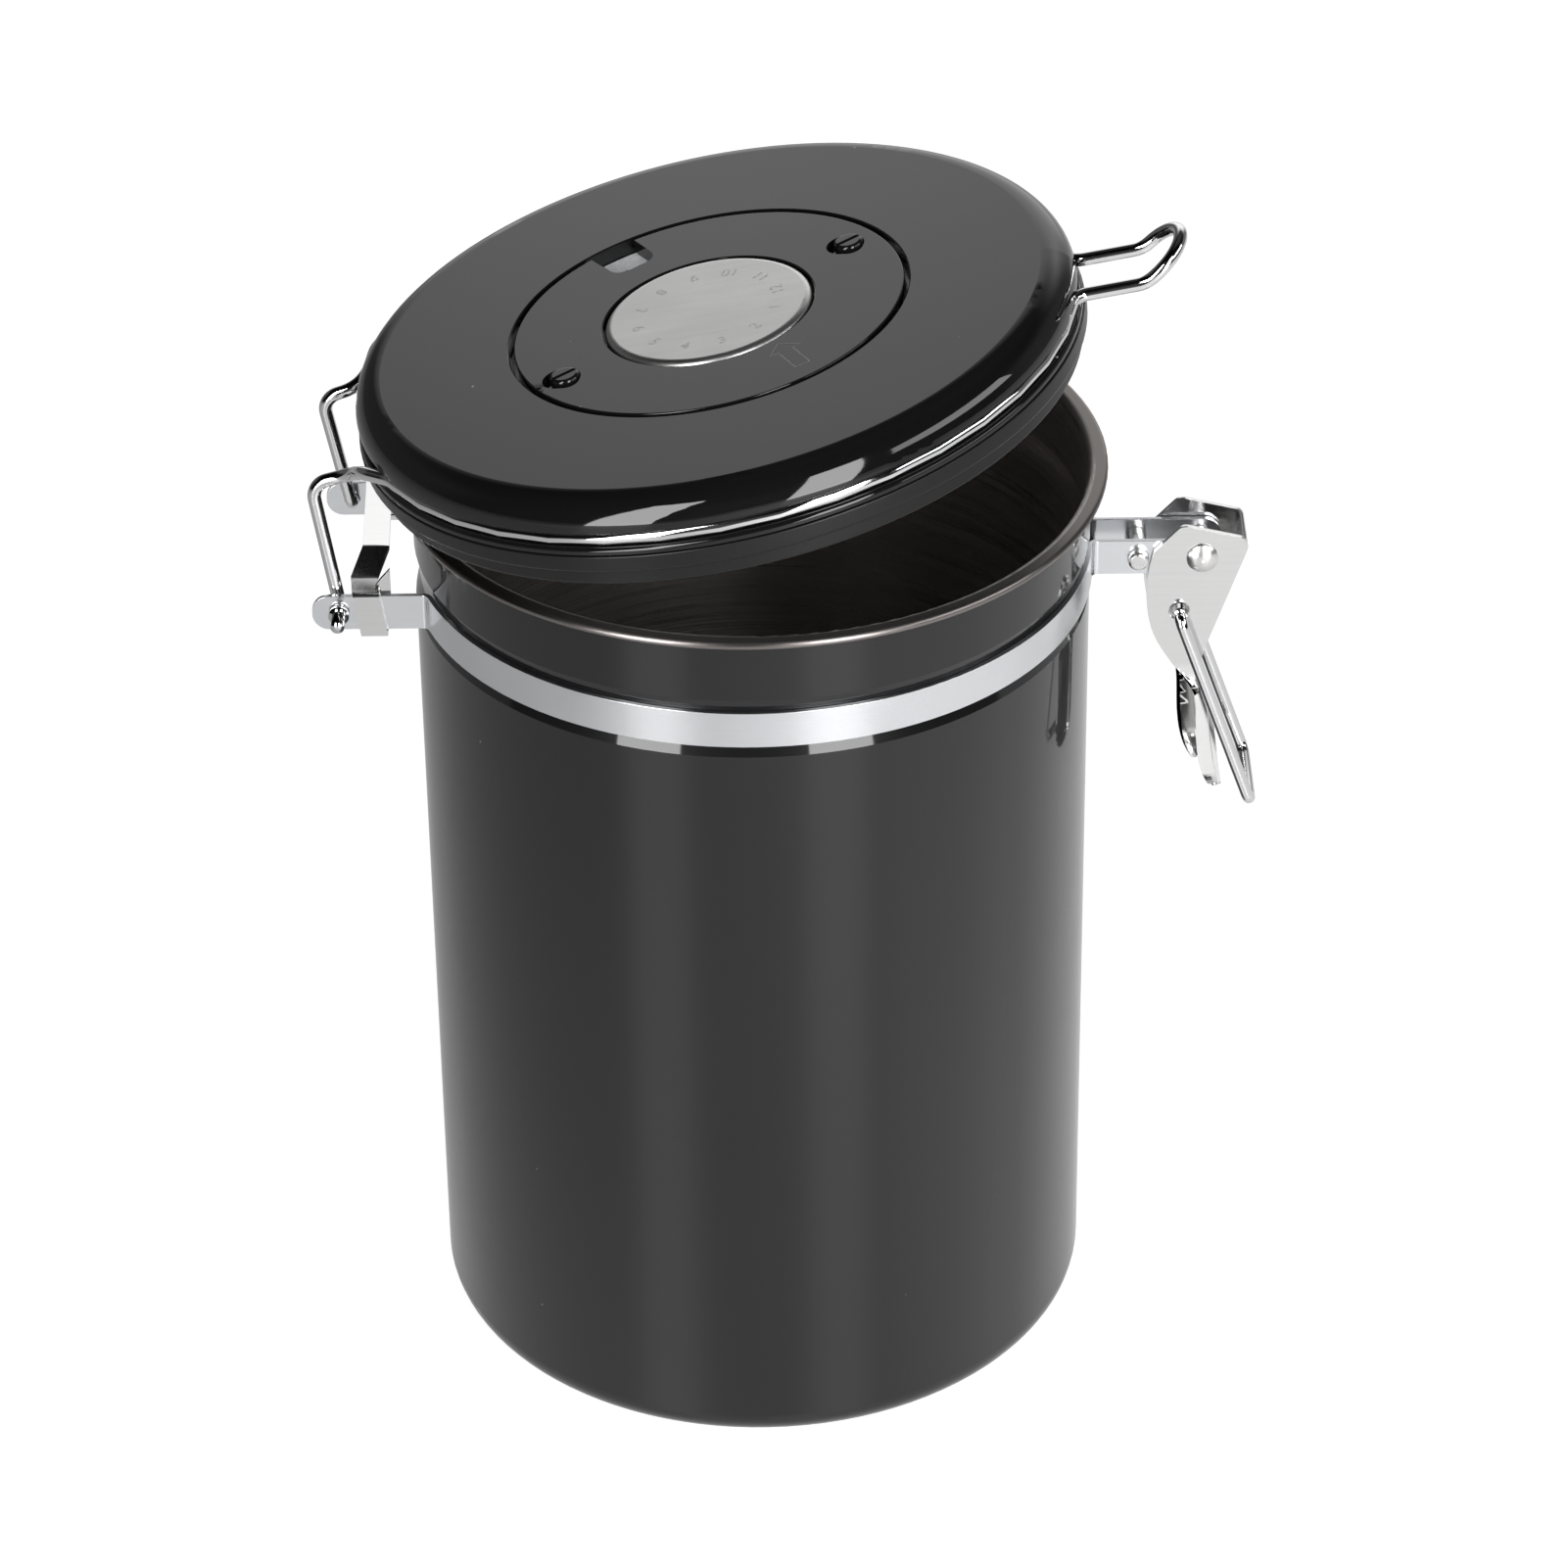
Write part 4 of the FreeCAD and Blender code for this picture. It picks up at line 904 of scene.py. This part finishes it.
def number_ring(name, count, radius, tall, first_turn, height, material, body):
    bm = bmesh.new()
    for i in range(count):
        turn = math.radians(first_turn - 360.0 * i / count)
        mark = lettered(str(i + 1), tall)
        spin = Matrix.Rotation(turn + math.pi / 2, 4, "Z")
        spot = Matrix.Translation((radius * math.cos(turn), radius * math.sin(turn), height))
        mark.transform(LID @ spot @ spin)
        bm.from_mesh(mark)
        bpy.data.meshes.remove(mark)
    return shown(name, as_mesh(bm, name), material, body)


def arrow_outline(grow):
    # Block arrow pointing along +Y, its outline moved out by a given width.
    half = ARROW_WIDE / 2 + grow * ARROW_WING_GROWS
    shaft = ARROW_SHAFT / 2 + grow
    tip = ARROW_LONG / 2 + grow * ARROW_TIP_GROWS
    neck = ARROW_LONG / 2 - ARROW_HEAD - grow * ARROW_NECK_GROWS
    foot = -ARROW_LONG / 2 - grow
    left = [(-half, neck), (-shaft, neck), (-shaft, foot)]
    right = [(-x, y) for x, y in reversed(left)]
    return [(0, tip)] + left + right


def ring_arrow():
    bm = bmesh.new()
    outer = [bm.verts.new((x, y, 0)) for x, y in arrow_outline(ARROW_LINE / 2)]
    inner = [bm.verts.new((x, y, 0)) for x, y in arrow_outline(-ARROW_LINE / 2)]
    count = len(outer)
    for i in range(count):
        j = (i + 1) % count
        bm.faces.new((outer[i], outer[j], inner[j], inner[i]))
    raised = bmesh.ops.extrude_face_region(bm, geom=bm.faces[:])
    moved = [part for part in raised["geom"] if isinstance(part, bmesh.types.BMVert)]
    bmesh.ops.translate(bm, verts=moved, vec=(0, 0, PRINT_T))
    bmesh.ops.recalc_face_normals(bm, faces=bm.faces)
    mesh = as_mesh(bm, "ring_arrow")
    turn = math.radians(ARROW_TIP_TURN)
    tip = Matrix.Translation((ARROW_TIP_R * math.cos(turn), ARROW_TIP_R * math.sin(turn), PRINT_UP))
    aim = Matrix.Rotation(math.radians(ARROW_POINTS - 90), 4, "Z")
    mesh.transform(LID @ tip @ aim @ Matrix.Translation((0, -ARROW_LONG / 2, 0)))
    return shown("ring_arrow", mesh, PRINT, "ring")


number_ring("month_numbers", MONTHS, NUMBER_R, NUMBER_TALL, NUMBER_TURN, DISC_PROUD + PRINT_UP,
            ETCHED, "disc")
number_ring("day_numbers", DAYS, DAY_R, DAY_TALL, DAY_TURN, PRINT_UP - DAY_SINK,
            DAY_INK, "lid")
ring_arrow()


# Studio

def studio_world():
    # White behind the object and dark towards the camera and overhead.
    world = bpy.data.worlds.new("studio")
    bpy.context.scene.world = world
    world.use_nodes = True
    tree = world.node_tree
    tree.nodes.clear()
    way = add(tree, "SeparateXYZ", {0: add(tree, "TexCoord").outputs["Generated"]})
    behind = between(tree, way.outputs["Y"], *SKY_BEHIND)
    roof = between(tree, way.outputs["Z"], *SKY_ROOF)
    left = between(tree, way.outputs["X"], *SKY_LEFT)
    right = between(tree, way.outputs["X"], *SKY_RIGHT)
    sides = maths(tree, "MULTIPLY", left, right)
    glow = maths(tree, "MULTIPLY", maths(tree, "MULTIPLY", behind, roof), sides)
    camera = add(tree, "LightPath").outputs["Is Camera Ray"]
    level = add(tree, "Mix", {"Factor": camera, 2: glow, 3: 1.0}).outputs[0]
    sky = add(tree, "Background", {"Color": (1, 1, 1, 1), "Strength": level})
    out = add(tree, "OutputWorld", {"Surface": sky.outputs[0]})
    out.is_active_output = True


def floor_finish():
    # Pale floor that shows as white to the camera and dimmer in reflections.
    material = bpy.data.materials.new("pale_floor")
    material.use_nodes = True
    tree = material.node_tree
    tree.nodes.clear()
    rays = add(tree, "LightPath").outputs
    gloss = maths(tree, "MAXIMUM", rays["Is Glossy Ray"], rays["Is Transmission Ray"])
    seen = maths(tree, "MULTIPLY", rays["Is Camera Ray"], FLOOR_TO_CAMERA)
    across = add(tree, "SeparateXYZ", {0: add(tree, "TexCoord").outputs["Object"]}).outputs["X"]
    mirrored = between(tree, across, *FLOOR_MIRRORED)
    level = maths(tree, "MAXIMUM", seen, maths(tree, "MULTIPLY", gloss, mirrored))
    plain = add(tree, "BsdfDiffuse", {"Color": (FLOOR_ALBEDO, FLOOR_ALBEDO, FLOOR_ALBEDO, 1)})
    tint = (FLOOR_SHEEN, FLOOR_SHEEN, FLOOR_SHEEN, 1)
    sheen = add(tree, "BsdfGlossy", {"Color": tint, "Roughness": FLOOR_SHEEN_ROUGH})
    glow = add(tree, "Emission", {"Color": (1, 1, 1, 1), "Strength": level})
    paper = add(tree, "AddShader", {0: plain.outputs[0], 1: sheen.outputs[0]})
    both = add(tree, "AddShader", {0: paper.outputs[0], 1: glow.outputs[0]})
    add(tree, "OutputMaterial", {"Surface": both.outputs[0]})
    return material


def floor():
    mesh = bpy.data.meshes.new("floor")
    h = FLOOR_HALF
    mesh.from_pydata([(-h, -h, 0), (h, -h, 0), (h, h, 0), (-h, h, 0)], [], [(0, 1, 2, 3)])
    mesh.materials.append(floor_finish())
    made = put("floor", mesh)
    made.location.z = -FLOOR_DROP


def softbox(name, degrees, far, wide, tall, mid, glow):
    # Upright panel that faces the object's axis.
    turn = math.radians(degrees)
    lamp = bpy.data.lights.new(name, "AREA")
    lamp.shape = "RECTANGLE"
    lamp.size = wide
    lamp.size_y = tall
    lamp.energy = glow * math.pi * wide * tall
    made = put(name, lamp)
    made.location = (far * math.sin(turn), -far * math.cos(turn), mid)
    aim = Vector((0, 0, mid)) - made.location
    made.rotation_euler = aim.to_track_quat("-Z", "Y").to_euler()


def camera():
    lens = bpy.data.cameras.new("camera")
    lens.sensor_width = SENSOR
    lens.lens = FOCAL_PX / FRAME_PX * SENSOR
    made = put("camera", lens)
    up = CAMERA_RIGHT.cross(CAMERA_AHEAD)
    turn = Matrix((CAMERA_RIGHT, up, -CAMERA_AHEAD)).transposed().to_4x4()
    made.matrix_world = Matrix.Translation(CAMERA_AT) @ turn
    bpy.context.scene.camera = made


studio_world()
floor()
for name, turn in (("softbox_left", SOFTBOX_LEFT_TURN), ("softbox_right", SOFTBOX_RIGHT_TURN)):
    softbox(name, turn, SOFTBOX_FAR, SOFTBOX_WIDE, SOFTBOX_TALL, SOFTBOX_MID, SOFTBOX_GLOW)
softbox("side_panel", SIDE_TURN, SIDE_FAR, SIDE_WIDE, SIDE_TALL, SIDE_MID, SIDE_GLOW)
camera()
bpy.context.scene.view_settings.view_transform = "Standard"
